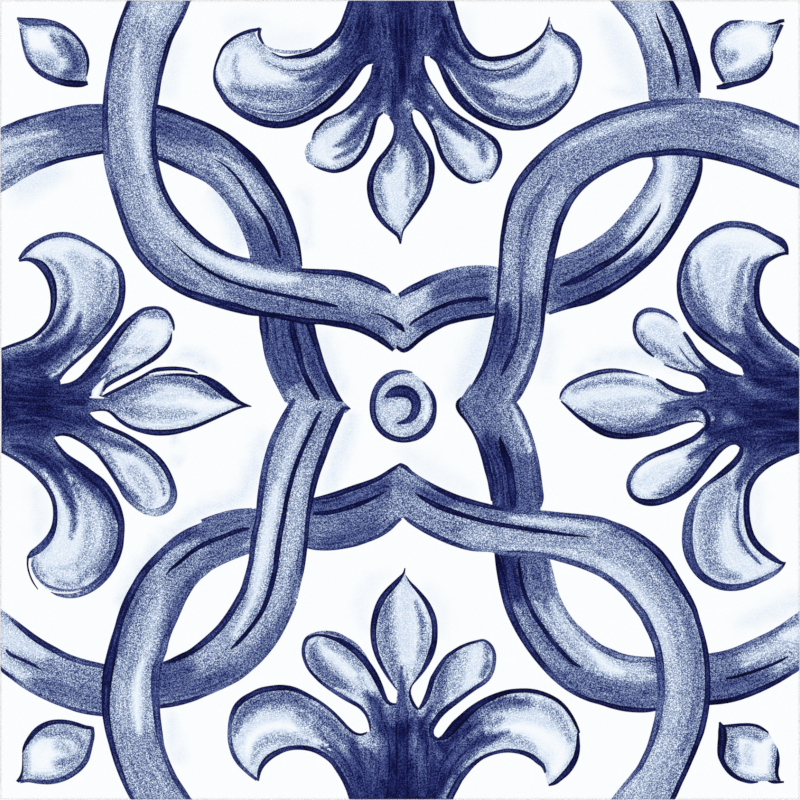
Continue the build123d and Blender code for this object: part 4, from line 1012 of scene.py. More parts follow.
centreRing = {
    "fill": 14,
    "bleed": (40, 9),
    "area": ["ring"],
    "guides": {},
}
centreRing["lines"] = {
    "ring": (85, [(423.3,381.5,1.5),(427,387,4),(431.3,393.5,5.4),(433.9,400.5,5.8),(434.6,408,5.8),
     (433.5,416.5,6.6),(430,425,8),(424,432,8.4),(416,437.2,7.8),(407,439.6,7.2),(398,439.4,7),
     (389,436.3,7.2),(381.8,431,7.4),(376.6,424,7.4),(373.4,415.5,7.4),(372.5,407,7.4),(373.2,399,7.4),
     (375.6,391,7.6,80),(380,383.6,8,76),(386.6,377.4,8,74),(394,373.4,7,72),(401,371.9,6,70),
     (407,371.8,4,74),(412.5,372.4,1.5,82)]),
    "crescent": (84, [(385.7,397.6,4),(389.5,394.6,8.6),(395,392,11.6),(401,391.2,12.8),(407,392,13),
     (412,395,12.2),(415.6,401,11.4),(416,408,10.4),(413.5,415,9.4),(408.5,420,7.6),(402,422.5,5),
     (396.5,423.3,2.5)]),
}
centreRing["washes"] = {
    "lowGrain": (22, [(382,420,5),(392,430,5),(406,432,5),(419,425,5),(426,412,4)]),
    "white": (3, [(420,384,2.5),(425.5,395,3),(427.5,407,3),(425.5,419,2.5)]),
    "inner": (19, [(384,411,6),(395,411,8),(404,405,5)]),
    "topBlue": (18, [(380,396,3),(388,384,4),(402,378,4),(418,384,4),(425,397,4)]),
}

leafTopLeft = {
    "fill": 6,
    "bleed": (40, 9),
    "area": ["upper", "side", "lower"],
    "guides": {"side": [(87, 80)]},
}
leafTopLeft["lines"] = {
    "upper": (74, [(17,18.5,2.5,90),(21,20.5,6),(27,22,8),(36,22.3,8),(46,22.3,7.5),(56,24,6.5),
     (64.5,27.6,5.2,80),(72,32.8,4.4,85),(78,39,4.2,88),(83,46,4.2,88),(86.5,54,4.2,88),(88,62,4,88),
     (87.7,69,3,86),(86.5,76,2,86)]),
    "upperEdge": (92, [(17,17.5,1),(24,18.3,1.8),(34,18.7,2),(44,19.2,1.6),(52,20.5,1)]),
    "lower": (78, [(19.8,28,1.5),(21.6,36,3),(23.2,44.5,3.4),(25.6,53,4),(29,60.6,5),(34.4,67.4,6),
     (41,73,6.7),(49.4,77.6,7.2,80),(58,81,7.7,86),(66,83,8.2,94),(74,83.9,8.2,95),(82,84,7.5,92),
     (88,83,5,86)]),
}
leafTopLeft["washes"] = {
    "white": (3, [(30,32,4),(36,42,8),(46,40,7)]),
    "grain": (24, [(38,56,6),(48,62,8),(56,60,6)]),
    "lowGrain": (34, [(42,64,4),(54,69,4)]),
    "deep": (68, [(60,34,2),(66,41,5),(71,50,8),(75,60,9),(76,70,9),(66,74,6)]),
    "rimLight": (26, [(62,33,2),(70,38,2),(76,45,1.8)]),
    "bandLeft": (50, [(52,36,3),(58,44,4),(63,54,4)]),
}

leafTopRight = {
    "fill": 6,
    "bleed": (40, 9),
    "area": ["left", "corner", "foot", "right", "top"],
    "guides": {"corner": [(719, 87)], "top": [(760, 21)]},
}
leafTopRight["lines"] = {
    "left": (85, [(744,20.5,1.5),(737,21.3,3.5),(730,22.7,5),(724,26.5,6),(718,32,6.6),(714,40,6.4),
     (712.4,50,6),(713.6,60,5.8),(717,69,5.4),(721,77,5),(724,82,4)]),
    "foot": (92, [(716.5,87.5,5),(724,86.5,7.4),(732,84.6,7),(742,82.4,6.4),(751,80,6.2),(758.5,76.2,6.2),
     (764.5,71,5.8),(769,64.6,5),(771.6,58,4),(772.3,51,2)]),
    "right": (90, [(774.5,44,1,80),(776.3,39,3),(779,31.5,4.7),(782,24.5,5)]),
    "tip": (92, [(767,24.3,2),(775,23,4),(780,21.3,5.2),(784.5,20.5,4)]),
}
leafTopRight["washes"] = {
    "topSoft": (20, [(740,20,3),(755,21,4),(768,23,3)]),
    "white": (3, [(745,34,8),(758,38,8),(764,50,6)]),
    "leftGrain": (40, [(724,52,5),(728,60,6),(734,56,5)]),
    "grain": (44, [(730,76,4),(742,74,5),(754,69,5),(763,60,4)]),
    "arc": (52, [(746,76,2.5),(756,72.5,3),(763,66,2.5)]),
}

leafBottomLeft = {
    "fill": 6,
    "bleed": (40, 9),
    "area": ["upper", "lower", "spur"],
    "guides": {},
}
leafBottomLeft["lines"] = {
    "upper": (88, [(22.5,753,1.5),(24,748,4),(27,742,5.5),(32,735,6.5),(38,729,7),(45,724.7,6.7),(53,722,6),
     (62,721.5,5.5),(70,722.5,5.5),(78,724.7,5.5),(85,727,5.2),(92.5,728,4.5)]),
    "lower": (76, [(92.5,727,4),(93,735.5,4.7),(91.3,744,5),(89,752.3,6),(86,760,7),(81,767,7),(74,773,6.7),
     (66,777.7,6.5),(57,780.7,6.5),(48,782,6.3),(38,781.7,5.5),(28,780.7,4.2),(20,781.5,5)]),
    "spur": (88, [(17.5,782,5),(21,776,3.5),(22.5,769,2.3),(22.7,761,1.5),(22.5,754,1)]),
}
leafBottomLeft["washes"] = {
    "white": (3, [(36,750,8),(42,762,8),(48,752,6)]),
    "grain": (46, [(46,734,4),(60,733,5),(76,737,5),(82,746,5)]),
    "grainLow": (44, [(78,756,5),(70,762,6),(60,764,6)]),
    "soft": (26, [(60,746,6),(68,750,6)]),
}

leafBottomRight = {
    "fill": 4,
    "bleed": (40, 9),
    "area": ["left", "foot", "right", "top"],
    "guides": {"foot": [(762, 781)]},
}
leafBottomRight["lines"] = {
    "left": (93, [(719.5,722,2.5),(722,729,9),(722.5,738,10.3),(721.5,747,9.7),(721,755,8.2),
     (722.7,761.5,6.7),(726.3,767.7,6.5),(731,773,6.5),(737,777.5,5.7),(744,780.5,5),(751,782,4.5),
     (758,782,2)]),
    "top": (92, [(722,726,3),(728,726,4.5),(735,725.3,4.5),(742,724.7,4.2),(750,724.7,4.2),(757,726,4.2),
     (763,729,3.7),(768.5,732.7,2)]),
    "right": (94, [(777.3,748,1),(778,756,4),(777.6,763,5.5),(776.7,770,5),(777.3,776,4.2),(779.5,781,4)]),
    "footLine": (92, [(768,781,2),(774,782,4.5),(784,782,2.5)]),
}
leafBottomRight["washes"] = {
    "leftGrain": (46, [(731,736,6),(731,750,7),(735,762,5)]),
    "topGrain": (44, [(738,734,4),(750,734,5),(760,738,4)]),
    "soft": (16, [(748,748,5),(748,762,6)]),
}

# Painted in this order, so that each vine passes over and under the others
drawing = [ground, leftLobeUpper, upperLobeRight, rightLobeLower, lowerLobeLeftInner, leftLobeLower,
           lowerLobeLeftOuter, upperLobeLeft, rightLobeUpper, lowerLobeRight,
           topPalmette, rightPalmette, leftPalmette, bottomPalmette, centreRing,
           leafTopLeft, leafTopRight, leafBottomLeft, leafBottomRight]

# Brush work

brush = {
    # lengths are px of the drawing, tones are percent of cobalt
    "lineStep": 2.2,      # between points along a line
    "lineSpread": 0.78,   # painted width of a line, as a share of the width it is given
    "heavyFrom": 6.0,     # a wider line than this spreads more
    "heavySpread": 0.3,
    "leastLine": 0.3,
    "edgeStep": 3.0,      # between points along the edge of an area
    "washStep": 6.0,      # between points along a wash
    "washCore": 0.1,      # part of a wash's half-width that has its full tone
    "washSpread": 1.6,
    "leastWash": 0.4,
    "bleedFrom": 30,      # a line paler than this doesn't bleed
    "bleedStart": 40,     # nor does a line that starts paler than this
    "bleedFull": 80,      # a line this dark bleeds as far as its shape says
    "pool": 7.0,          # what a wide line gains at its edges and loses in its middle
    "poolFrom": 3.0,      # a line this wide starts to pool, and one twice as wide pools in full
    "coarse": 3,          # rims and hair marks follow every third point of a line
    "shortLine": 6,       # a line with no more points than this leads no hair marks
    "facetReach": 6,      # how far from its middle a facet may have its corners
    "bare": 1.0,          # tone of unpainted glaze
}


def smoothed(points, step):
    # a soft curve through the points
    points = np.array(points, float)
    if len(points) < 3:
        return points
    ends = np.vstack([2 * points[0] - points[1], points, 2 * points[-1] - points[-2]])
    rows = []
    for before, start, end, after in zip(ends, ends[1:], ends[2:], ends[3:]):
        count = max(1, int(round(math.dist(start[:2], end[:2]) / step)))
        t = (np.arange(count) / count)[:, None]
        bend = (2 * before - 5 * start + 4 * end - after) * t ** 2
        twist = (3 * start - before - 3 * end + after) * t ** 3
        rows.append(start + ((end - before) * t + bend + twist) / 2)
    return np.vstack(rows + [points[-1:]])


def stroke(line, weight):
    # x, y, width and tone all along a line
    tone, points = line
    path = smoothed([tuple(p) + (tone,) * (4 - len(p)) for p in points], brush["lineStep"])
    heavy = np.maximum(path[:, 2] - brush["heavyFrom"], 0)
    spread = path[:, 2] * brush["lineSpread"] + heavy * brush["heavySpread"]
    path[:, 2] = np.maximum(spread * weight, brush["leastLine"])
    return path


def strokesOf(shape):
    return {name: stroke(line, shape.get("weight", 1)) for name, line in shape["lines"].items()}


def outlineOf(path):
    # the closed edge of a stroke
    run = np.gradient(path[:, :2], axis=0)
    run /= np.maximum(np.linalg.norm(run, axis=1), 1e-9)[:, None]
    side = np.column_stack([run[:, 1], -run[:, 0]]) * path[:, 2:3] / 2
    return np.vstack([path[:, :2] + side, (path[:, :2] - side)[::-1]])


def filledIn(loop, step):
    # the closed loop again, with points added where they are further apart than a step
    rows = []
    for start, end in zip(loop, np.roll(loop, -1, axis=0)):
        count = max(1, math.ceil(math.dist(start, end) / step))
        rows += [start + (end - start) * k / count for k in range(count)]
    return np.array(rows)


def areaOf(shape, strokes):
    # the named parts joined end to end, each turned the way that fits best
    parts = []
    for name in shape["area"]:
        part = strokes[name][:, :2] if name in strokes else np.array(shape["guides"][name], float)
        parts.append(part)
    if len(parts) > 1:
        gaps = [np.linalg.norm(parts[1][[0, -1]] - end, axis=1).min() for end in parts[0][[0, -1]]]
        if gaps[0] < gaps[1]:
            parts[0] = parts[0][::-1]
    chain = [parts[0]]
    for part in parts[1:]:
        here = chain[-1][-1]
        if math.dist(here, part[-1]) < math.dist(here, part[0]):
            part = part[::-1]
        chain.append(part)
    return filledIn(np.vstack(chain), brush["edgeStep"])


def inside(loop, x, y):
    # x and y come sorted by y; where a loop overlaps itself counts as inside
    turns = np.zeros(len(x), int)
    for (x0, y0), (x1, y1) in zip(loop, np.roll(loop, -1, axis=0)):
        if y0 == y1:
            continue
        first, last = np.searchsorted(y, (min(y0, y1), max(y0, y1)))
        crossing = x0 + (y[first:last] - y0) * (x1 - x0) / (y1 - y0)
        turns[first:last] += np.where(x[first:last] < crossing, 1 if y1 > y0 else -1, 0)
    return turns != 0


def nearest(path, x, y):
    # how far off the path each place is, over the path's third value there, and where along it
    ratio = np.full(x.shape, 1e9)
    where = np.zeros(x.shape)
    for k, (start, end) in enumerate(zip(path, path[1:])):
        run = end[:2] - start[:2]
        t = ((x - start[0]) * run[0] + (y - start[1]) * run[1]) / max(run @ run, 1e-9)
        t = np.clip(t, 0, 1)
        off = np.hypot(x - start[0] - t * run[0], y - start[1] - t * run[1])
        here = off / (start[2] + t * (end[2] - start[2]))
        closer = here < ratio
        ratio[closer] = here[closer]
        where[closer] = (k + t)[closer]
    return ratio, where


def closeTo(path, chosen, cx, cy):
    # those of the chosen facets that a path can reach
    reach = path[:, 2].max() + brush["facetReach"]
    low, high = path[:, :2].min(axis=0) - reach, path[:, :2].max(axis=0) + reach
    px, py = cx[chosen], cy[chosen]
    return chosen[(px > low[0]) & (px < high[0]) & (py > low[1]) & (py < high[1])]


def soften(ratio):
    # from full strength at the core of a soft stroke to none at its edge
    t = np.clip((1 - ratio) / (1 - brush["washCore"]), 0, 1)
    return t * t * (3 - 2 * t)


def paintBleed(tones, shape, strokes, chosen, cx, cy, x, y):
    # the darker rim that runs along inside the lines
    tone, reach = shape["bleed"]
    for path in strokes.values():
        rim = path[::brush["coarse"]].copy()
        share = (rim[:, 3] - brush["bleedFrom"]) / (brush["bleedFull"] - brush["bleedFrom"])
        rim[:, 2] = rim[:, 2] / 2 + reach * np.clip(share, 0, 1)
        picked = closeTo(rim, chosen, cx, cy)
        if len(picked) and rim[0, 3] > brush["bleedStart"]:
            ratio, _ = nearest(rim, x[picked], y[picked])
            amount = soften(ratio)
            tones[picked] = np.maximum(tones[picked], tones[picked] * (1 - amount) + tone * amount)


def paintWash(tones, wash, chosen, cx, cy, x, y):
    tone, points = wash
    path = smoothed(points, brush["washStep"])
    path[:, 2] = np.maximum(path[:, 2], brush["leastWash"]) * brush["washSpread"]
    picked = closeTo(path, chosen, cx, cy)
    if len(picked):
        ratio, _ = nearest(path, x[picked], y[picked])
        tones[picked] += soften(ratio) * (tone - tones[picked])


def paintLine(tones, path, cx, cy, x, y):
    # a crisp stroke, darker at its edges where the paint pools; gives the facets under it
    picked = np.flatnonzero(inside(outlineOf(path), cx, cy))
    if len(picked):
        ratio, where = nearest(path, x[picked], y[picked])
        width, tone = (np.interp(where, np.arange(len(path)), path[:, k]) for k in (2, 3))
        share = np.clip(width / brush["poolFrom"] - 1, 0, 1)
        tones[picked] = tone + brush["pool"] * share * (4 * np.minimum(ratio, 0.5) - 1)
    return picked


def followLines(brushing, leading, picked, x, y, number):
    # how far off the nearest line each place is and how far along it, for the hair marks
    near = np.full(x[picked].shape, 1e9)
    along = np.zeros(x[picked].shape)
    for path in leading:
        coarse = path[::brush["coarse"]].copy()
        coarse[:, 2] = 1
        off, where = nearest(coarse, x[picked], y[picked])
        steps = np.hypot(*np.diff(coarse[:, :2], axis=0).T)
        run = np.interp(where, np.arange(len(coarse)), np.append(0, np.cumsum(steps)))
        closer = off < near
        near[closer] = off[closer]
        along[closer] = run[closer]
    brushing[picked, :, 0] = near
    brushing[picked, :, 1] = along
    brushing[picked, :, 2] = number


def paintShape(tones, brushing, number, shape, cx, cy, x, y):
    # cx, cy are the middles of the facets, and x, y the places where the tone is wanted
    strokes = strokesOf(shape)
    if shape["area"]:
        chosen = np.flatnonzero(inside(areaOf(shape, strokes), cx, cy))
        tones[chosen] = shape["fill"]
    else:
        chosen = np.arange(len(cx))
    if "bleed" in shape:
        paintBleed(tones, shape, strokes, chosen, cx, cy, x, y)
    for wash in shape["washes"].values():
        paintWash(tones, wash, chosen, cx, cy, x, y)
    touched = [paintLine(tones, path, cx, cy, x, y) for path in strokes.values()]
    if shape["area"]:
        touched.append(chosen)
    if touched:
        leading = [path for path in strokes.values() if len(path) > brush["shortLine"]]
        for flow in shape.get("flow", []):
            leading.append(smoothed([point + (1,) for point in flow], brush["lineStep"]))
        followLines(brushing, leading, np.unique(np.concatenate(touched)), x, y, number)

# The painted glaze: one thin sheet over the face, round the arris and a little way down the sides

glaze = {
    "thickness": 0.03 * mm,    # how far it stands proud of the porcelain
    "drawnAcross": 800,        # px of the drawing from side to side
    "pixel": 0.25 * mm,        # one px of the drawing on the tile
    "arrisRadius": 0.8 * mm,
    "cornerRadius": 1.2 * mm,
    "skirt": 1.5 * mm,         # how far it runs down below the arris
    "skirtWave": 0.3 * mm,
    "ripples": [(310, 2, 0.6), (-1, 430, 0.4)],    # radians per metre along x and y, share
    "tuck": 0.1 * mm,          # how far its lower edge turns in
    "sidePoints": 90,          # points of the mesh along each side
    "cornerPoints": 6,         # round each corner
    "arrisRows": 6,            # rows of them over the arris
    "paintedStep": 3.0,        # px between points of the mesh where there is paint
    "bareStep": 9.0,           # and where there is none
    "stray": 0.3,              # how far these stray from their rows, as a share of the step
    "clearEdge": 2,            # px at the edge of the drawing with no such points
    "spineFrom": 4.5,          # a line wider than this has points along its middle too
    "seed": 11,
}
sheetRadius = glaze["arrisRadius"] + glaze["thickness"]
quarterTurn = sheetRadius * math.pi / 2
innerCorner = glaze["cornerRadius"] - glaze["arrisRadius"]
innerHalf = (tileHigh.x - tileLow.x) / 2 - glaze["cornerRadius"]
reachPast = quarterTurn + glaze["skirt"] + glaze["tuck"]
middle = (tileLow + tileHigh) / 2
centre = glaze["drawnAcross"] / 2


def toSheet(x, y):
    # place on the unrolled sheet, in metres from its middle, of a px of the drawing
    return (x - centre) * glaze["pixel"], (centre - y) * glaze["pixel"]


def pastFace(u, v):
    # how far past the flat face a place is, and which way is out
    du = u - np.clip(u, -innerHalf, innerHalf)
    dv = v - np.clip(v, -innerHalf, innerHalf)
    far = np.hypot(du, dv)
    safe = np.maximum(far, 1e-12)
    return np.maximum(far - innerCorner, 0), du / safe, dv / safe


def foldDown(u, v):
    # wraps the unrolled sheet round the arris; gives places and normals
    past, outU, outV = pastFace(u, v)
    turn = np.minimum(past, quarterTurn) / sheetRadius
    below = np.maximum(past - quarterTurn, 0)
    ripple = sum(np.sin(alongX * u + alongY * v) * share for alongX, alongY, share in glaze["ripples"])
    wave = 1 + glaze["skirtWave"] / glaze["skirt"] * ripple
    drop = sheetRadius * (1 - np.cos(turn)) + np.minimum(below, glaze["skirt"]) * wave
    out = sheetRadius * np.sin(turn) - np.maximum(below - glaze["skirt"], 0) - past
    out = np.where(past > 0, out, 0)
    x = middle.x + u + outU * out
    y = middle.y + v + outV * out
    z = tileHigh.z + glaze["thickness"] - drop
    normals = np.column_stack([outU * np.sin(turn), outV * np.sin(turn), np.cos(turn)])
    return np.column_stack([x, y, z]), normals


def rimLoop(past):
    # one closed row of points round the tile, that far past the flat face
    radius = innerCorner + past
    side = np.linspace(-innerHalf, innerHalf, glaze["sidePoints"], endpoint=False)
    bend = np.linspace(-math.pi / 2, 0, glaze["cornerPoints"], endpoint=False)
    rows = []
    for k in range(4):
        a = math.pi / 2 * k
        straight = np.column_stack([side, np.full(len(side), -innerHalf - radius)])
        corner = np.column_stack([innerHalf + radius * np.cos(bend), -innerHalf + radius * np.sin(bend)])
        row = np.vstack([straight, corner])
        rows.append(row @ np.array([[math.cos(a), math.sin(a)], [-math.sin(a), math.cos(a)]]))
    return np.vstack(rows)


def loopEdges(first, count):
    return [(first + k, first + (k + 1) % count) for k in range(count)]


def meshPoints(drawing):
    # places and edges that the facets must keep
    points, edges = [], []
    arrisRows = np.linspace(0, quarterTurn, glaze["arrisRows"])
    for past in [*arrisRows, quarterTurn + glaze["skirt"], reachPast]:
        loop = rimLoop(past)
        edges += loopEdges(len(points), len(loop))
        points += [tuple(p) for p in loop]
    random = np.random.default_rng(glaze["seed"])
    painted = []
    for shape in drawing:
        strokes = strokesOf(shape)
        loops = [outlineOf(path) for path in strokes.values()]
        spine = np.vstack([path[::2] for path in strokes.values()] or [np.zeros((0, 4))])
        spine = spine[spine[:, 2] > glaze["spineFrom"]]
        points += list(zip(*toSheet(spine[:, 0], spine[:, 1])))
        if shape["area"]:
            loops.append(areaOf(shape, strokes))
            painted.append(loops[-1])
        for loop in loops:
            u, v = toSheet(loop[:, 0], loop[:, 1])
            edges += loopEdges(len(points), len(loop))
            points += list(zip(u, v))
    first, last, stray = glaze["clearEdge"], glaze["drawnAcross"] - glaze["clearEdge"], glaze["stray"]
    for step, wanted in ((glaze["paintedStep"], True), (glaze["bareStep"], False)):
        row, column = np.mgrid[first:last:step, first:last:step]
        x = (column + random.uniform(-stray, stray, row.shape) * step).ravel()
        y = (row + random.uniform(-stray, stray, row.shape) * step).ravel()
        order = np.argsort(y)
        x, y = x[order], y[order]
        under = np.zeros(len(x), bool)
        for loop in painted:
            under |= inside(loop, x, y)
        x, y = x[under == wanted], y[under == wanted]
        u, v = toSheet(x, y)
        points += list(zip(u, v))
    return points, edges


def makeGlaze(drawing):
    # cuts the sheet into facets, folds it over the tile and paints it
    points, edges = meshPoints(drawing)
    scaled = [Vector((u / mm, v / mm)) for u, v in points]
    found = delaunay_2d_cdt(scaled, edges, [], 0, 1e-4, False)
    flat = np.array([(p.x, p.y) for p in found[0]]) * mm
    facets = np.array([f for f in found[2] if len(f) == 3])
    places, normals = foldDown(flat[:, 0], flat[:, 1])
    print("glaze sheet has", len(facets), "facets")

    x = flat[:, 0] / glaze["pixel"] + centre
    y = centre - flat[:, 1] / glaze["pixel"]
    centreX, centreY = x[facets].mean(axis=1), y[facets].mean(axis=1)
    order = np.argsort(centreY)
    facets, centreX, centreY = facets[order], centreX[order], centreY[order]
    tones = np.full(facets.shape, brush["bare"])
    brushing = np.zeros(facets.shape + (3,))
    for number, shape in enumerate(drawing):
        paintShape(tones, brushing, number, shape, centreX, centreY, x[facets], y[facets])
    print("pattern painted")

    mesh = bpy.data.meshes.new("painted_glaze")
    mesh.from_pydata(places.tolist(), [], facets.tolist())
    mesh.update()
    cobalt = mesh.attributes.new("cobalt", "FLOAT", "CORNER")
    cobalt.data.foreach_set("value", np.clip(tones, 0, 100).ravel().astype(np.float32) / 100)
    marks = mesh.attributes.new("brushing", "FLOAT_VECTOR", "CORNER")
    marks.data.foreach_set("vector", brushing.ravel().astype(np.float32))
    uv = mesh.uv_layers.new(name="OFBake")
    whole = 2 * (innerHalf + innerCorner + reachPast)
    spread = (flat[facets.ravel()] / whole + 0.5).astype(np.float32)
    uv.data.foreach_set("uv", spread.ravel())
    mesh.shade_smooth()
    mesh.normals_split_custom_set_from_vertices(normals.tolist())
    piece = bpy.data.objects.new("painted_glaze", mesh)
    bpy.context.scene.collection.objects.link(piece)
    return piece

# Materials

def linear(hexColour):
    # sRGB hex to the linear values that a shader takes
    channels = [int(hexColour[k:k + 2], 16) / 255 for k in (1, 3, 5)]
    return [c / 12.92 if c <= 0.04045 else ((c + 0.055) / 1.055) ** 2.4 for c in channels] + [1]


def addNode(material, kind, settings=None, inputs=None):
    # a node with its settings; an input is a value or another node's output
    node = material.node_tree.nodes.new(kind)
    for name, value in (settings or {}).items():
        setattr(node, name, value)
    for name, value in (inputs or {}).items():
        if isinstance(value, bpy.types.NodeSocket):
            material.node_tree.links.new(value, node.inputs[name])
        else:
            node.inputs[name].default_value = value
    return node


def setRamp(node, stops):
    # stops are (place, colour) from low to high
    ramp = node.color_ramp
    while len(ramp.elements) < len(stops):
        ramp.elements.new(1)
    for element, (place, colour) in zip(ramp.elements, stops):
        element.position = place
        element.color = colour


def newMaterial(name):
    material = bpy.data.materials.new(name)
    material.use_nodes = True
    material.node_tree.nodes.clear()
    return material


def finishMaterial(material, shader):
    addNode(material, "ShaderNodeOutputMaterial", inputs={"Surface": shader.outputs["BSDF"]})
    return material


paint = {
    # each list goes by the cobalt in percent: the colour it fires to, the strength of the grain
    # in it and the strength of the hair marks
    "colours": [(0, "#FDFEFF"), (2, "#F8FBFD"), (5, "#F0F5FB"), (8, "#E3EDF8"), (13, "#D4E1F2"),
                (19, "#C2D1E7"), (25, "#B2C2DB"), (31, "#A3B3CE"), (37, "#93A4C2"), (43, "#8494B5"),
                (49, "#7585AC"), (55, "#6675A3"), (61, "#57659A"), (67, "#48558F"), (73, "#394581"),
                (79, "#28316E"), (85, "#161D5A"), (90, "#070D49"), (95, "#00033B"), (100, "#000022")],
    "grain": [(0, 0.0), (6, 0.1), (13, 0.4), (25, 1.1), (45, 1.5), (58, 1.25), (70, 0.85), (82, 0.5),
              (92, 0.3), (100, 0.15)],
    "grainSize": 0.28 * mm,     # ground cobalt is finer; drawn this coarse so that it shows
    "hairs": [(0, 0.0), (8, 0.1), (20, 0.35), (45, 0.55), (65, 0.55), (84, 0.5), (93, 0.4), (100, 0.3)],
    "hairWidth": 0.55 * mm,     # across the hair marks
    "hairLength": 8.5 * mm,     # along them
    "shapeShift": 37,           # keeps the marks of one shape unlike the next one's
    "roughness": 0.12,
    "ior": 1.5,
    "waveSize": 9 * mm,         # the slow swell of fired glaze
    "waveHeight": 0.2 * mm,
    "waveStrength": 0.15,
}


def addHairMarks(material, cobalt, tone):
    # Thin streaks that the brush hairs leave along a stroke, on top of a tone
    brushing = addNode(material, "ShaderNodeAttribute", {"attribute_name": "brushing"})
    across, along = glaze["pixel"] / paint["hairWidth"], glaze["pixel"] / paint["hairLength"]
    stretched = addNode(material, "ShaderNodeVectorMath", {"operation": "MULTIPLY"},
                        {0: brushing.outputs["Vector"], 1: (across, along, paint["shapeShift"])})
    hairs = addNode(material, "ShaderNodeTexNoise", inputs={"Vector": stretched.outputs[0], "Scale": 1.0})
    strength = addNode(material, "ShaderNodeValToRGB", inputs={"Fac": cobalt.outputs["Fac"]})
    setRamp(strength, [(tone / 100, (value, value, value, 1)) for tone, value in paint["hairs"]])
    centred = addNode(material, "ShaderNodeMath", {"operation": "SUBTRACT"},
                      {0: hairs.outputs["Fac"], 1: 0.5})
    return addNode(material, "ShaderNodeMath", {"operation": "MULTIPLY_ADD"},
                   {0: centred.outputs[0], 1: strength.outputs["Color"], 2: tone.outputs[0]})


def makePaintedGlaze():
    # Glossy lead-white glaze with the cobalt sunk in it: crisp dark lines, grainy thin washes
    material = newMaterial("cobalt_painted_glaze")
    cobalt = addNode(material, "ShaderNodeAttribute", {"attribute_name": "cobalt"})
    place = addNode(material, "ShaderNodeTexCoord").outputs["Object"]
    grain = addNode(material, "ShaderNodeTexNoise",
                    inputs={"Vector": place, "Scale": 1 / paint["grainSize"], "Detail": 0.0})
    strength = addNode(material, "ShaderNodeValToRGB", inputs={"Fac": cobalt.outputs["Fac"]})
    setRamp(strength, [(tone / 100, (value, value, value, 1)) for tone, value in paint["grain"]])
    centred = addNode(material, "ShaderNodeMath", {"operation": "SUBTRACT"},
                      {0: grain.outputs["Fac"], 1: 0.5})
    speckled = addNode(material, "ShaderNodeMath", {"operation": "MULTIPLY_ADD"},
                       {0: centred.outputs[0], 1: strength.outputs["Color"], 2: cobalt.outputs["Fac"]})
    combed = addHairMarks(material, cobalt, speckled)
    colour = addNode(material, "ShaderNodeValToRGB", inputs={"Fac": combed.outputs[0]})
    setRamp(colour, [(tone / 100, linear(code)) for tone, code in paint["colours"]])
    wave = addNode(material, "ShaderNodeTexNoise",
                   inputs={"Vector": place, "Scale": 1 / paint["waveSize"]})
    bump = addNode(material, "ShaderNodeBump",
                   inputs={"Height": wave.outputs["Fac"], "Strength": paint["waveStrength"],
                           "Distance": paint["waveHeight"]})
    shader = addNode(material, "ShaderNodeBsdfPrincipled",
                     inputs={"Base Color": colour.outputs["Color"], "Roughness": paint["roughness"],
                             "IOR": paint["ior"], "Normal": bump.outputs["Normal"]})
    return finishMaterial(material, shader)


porcelain = {
    "colour": "#EFEDE6",
    "roughness": 0.62,
    "ior": 1.5,
    "gritSize": 0.5 * mm,
    "gritHeight": 0.02 * mm,
    "gritStrength": 0.25,
}


def makeBarePorcelain():
    # Unglazed biscuit of the back and sides: dull, faintly warm white, slightly gritty
    material = newMaterial("bare_porcelain")
    place = addNode(material, "ShaderNodeTexCoord").outputs["Object"]
    grit = addNode(material, "ShaderNodeTexNoise",
                   inputs={"Vector": place, "Scale": 1 / porcelain["gritSize"]})
    bump = addNode(material, "ShaderNodeBump",
                   inputs={"Height": grit.outputs["Fac"], "Strength": porcelain["gritStrength"],
                           "Distance": porcelain["gritHeight"]})
    shader = addNode(material, "ShaderNodeBsdfPrincipled",
                     inputs={"Base Color": linear(porcelain["colour"]), "Roughness": porcelain["roughness"],
                             "IOR": porcelain["ior"], "Normal": bump.outputs["Normal"]})
    return finishMaterial(material, shader)


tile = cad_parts["tile"]
tile.data.materials.clear()
tile.data.materials.append(makeBarePorcelain())
sheet = makeGlaze(drawing)
sheet.data.materials.append(makePaintedGlaze())
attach(sheet, "root")
print("tile dressed")

# Stage

stage = {
    # lengths in metres
    "floorColour": "#F4F4F2",
    "floorRoughness": 0.9,
    "floorSize": 4.0,
    "lampCount": 4,
    "lampPower": 8.3,        # watts, each
    "lampSize": 0.8,
    "lampDistance": 1.1,     # off to the side of the tile
    "lampHeight": 1.0,       # above its face
    "skyColour": "#FFFFFF",
    "skyStrength": 0.1,
}


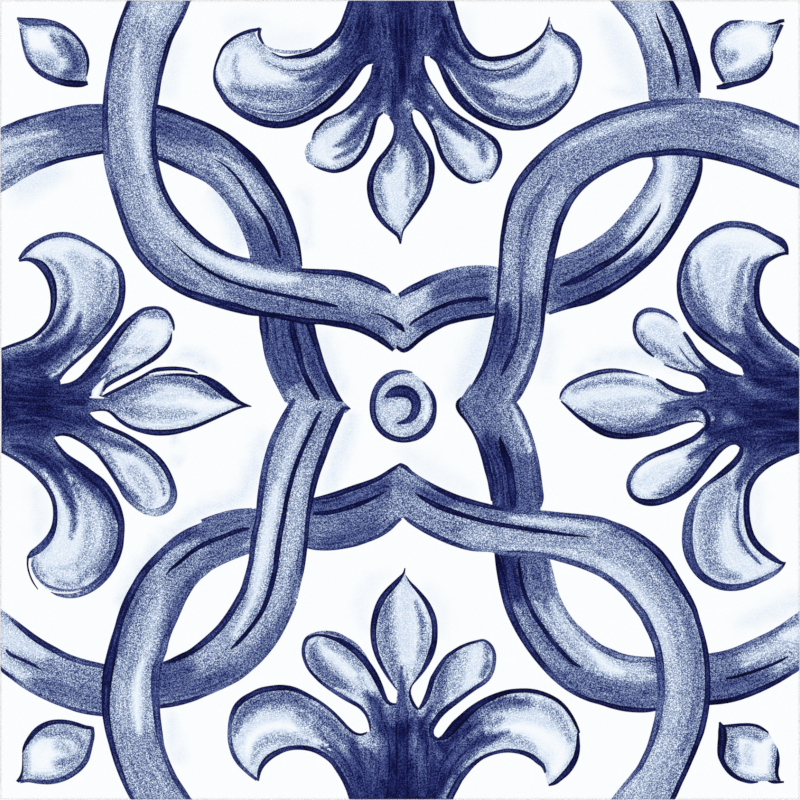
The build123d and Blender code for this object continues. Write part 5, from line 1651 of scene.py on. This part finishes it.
def makeFloor():
    # Plain matt studio floor
    half = stage["floorSize"] / 2
    mesh = bpy.data.meshes.new("floor")
    corners = [(x * half, y * half, tileLow.z) for x, y in ((-1, -1), (1, -1), (1, 1), (-1, 1))]
    mesh.from_pydata(corners, [], [(0, 1, 2, 3)])
    material = newMaterial("studio_floor")
    shader = addNode(material, "ShaderNodeBsdfPrincipled",
                     inputs={"Base Color": linear(stage["floorColour"]),
                             "Roughness": stage["floorRoughness"]})
    mesh.materials.append(finishMaterial(material, shader))
    floor = bpy.data.objects.new("floor", mesh)
    bpy.context.scene.collection.objects.link(floor)


def makeLamps():
    # Large soft lamps round the tile, none where the camera would see its reflection
    for k in range(stage["lampCount"]):
        a = (k + 0.5) * 2 * math.pi / stage["lampCount"]
        lamp = bpy.data.lights.new(f"lamp_{k}", "AREA")
        lamp.size = stage["lampSize"]
        lamp.energy = stage["lampPower"]
        holder = bpy.data.objects.new(f"lamp_{k}", lamp)
        holder.location = (stage["lampDistance"] * math.cos(a), stage["lampDistance"] * math.sin(a),
                           tileHigh.z + stage["lampHeight"])
        holder.rotation_euler = (middle - holder.location).to_track_quat("-Z", "Y").to_euler()
        bpy.context.scene.collection.objects.link(holder)
    world = bpy.data.worlds.new("studio")
    world.use_nodes = True
    sky = world.node_tree.nodes["Background"]
    sky.inputs["Color"].default_value = linear(stage["skyColour"])
    sky.inputs["Strength"].default_value = stage["skyStrength"]
    bpy.context.scene.world = world


camera = {
    "lens": 100,      # mm of focal length
    "sensor": 36,     # mm across
    "margin": 1.0,    # width that it sees, in widths of the tile
}


def makeCamera():
    # Straight above the tile, which fills the picture
    data = bpy.data.cameras.new("camera")
    data.lens = camera["lens"]
    data.sensor_width = camera["sensor"]
    width = (tileHigh.x - tileLow.x) * camera["margin"]
    holder = bpy.data.objects.new("camera", data)
    holder.location = (middle.x, middle.y, tileHigh.z + width * camera["lens"] / camera["sensor"])
    bpy.context.scene.collection.objects.link(holder)
    bpy.context.scene.camera = holder


makeFloor()
makeLamps()
makeCamera()
bpy.context.scene.view_settings.view_transform = "Standard"
print("stage set")
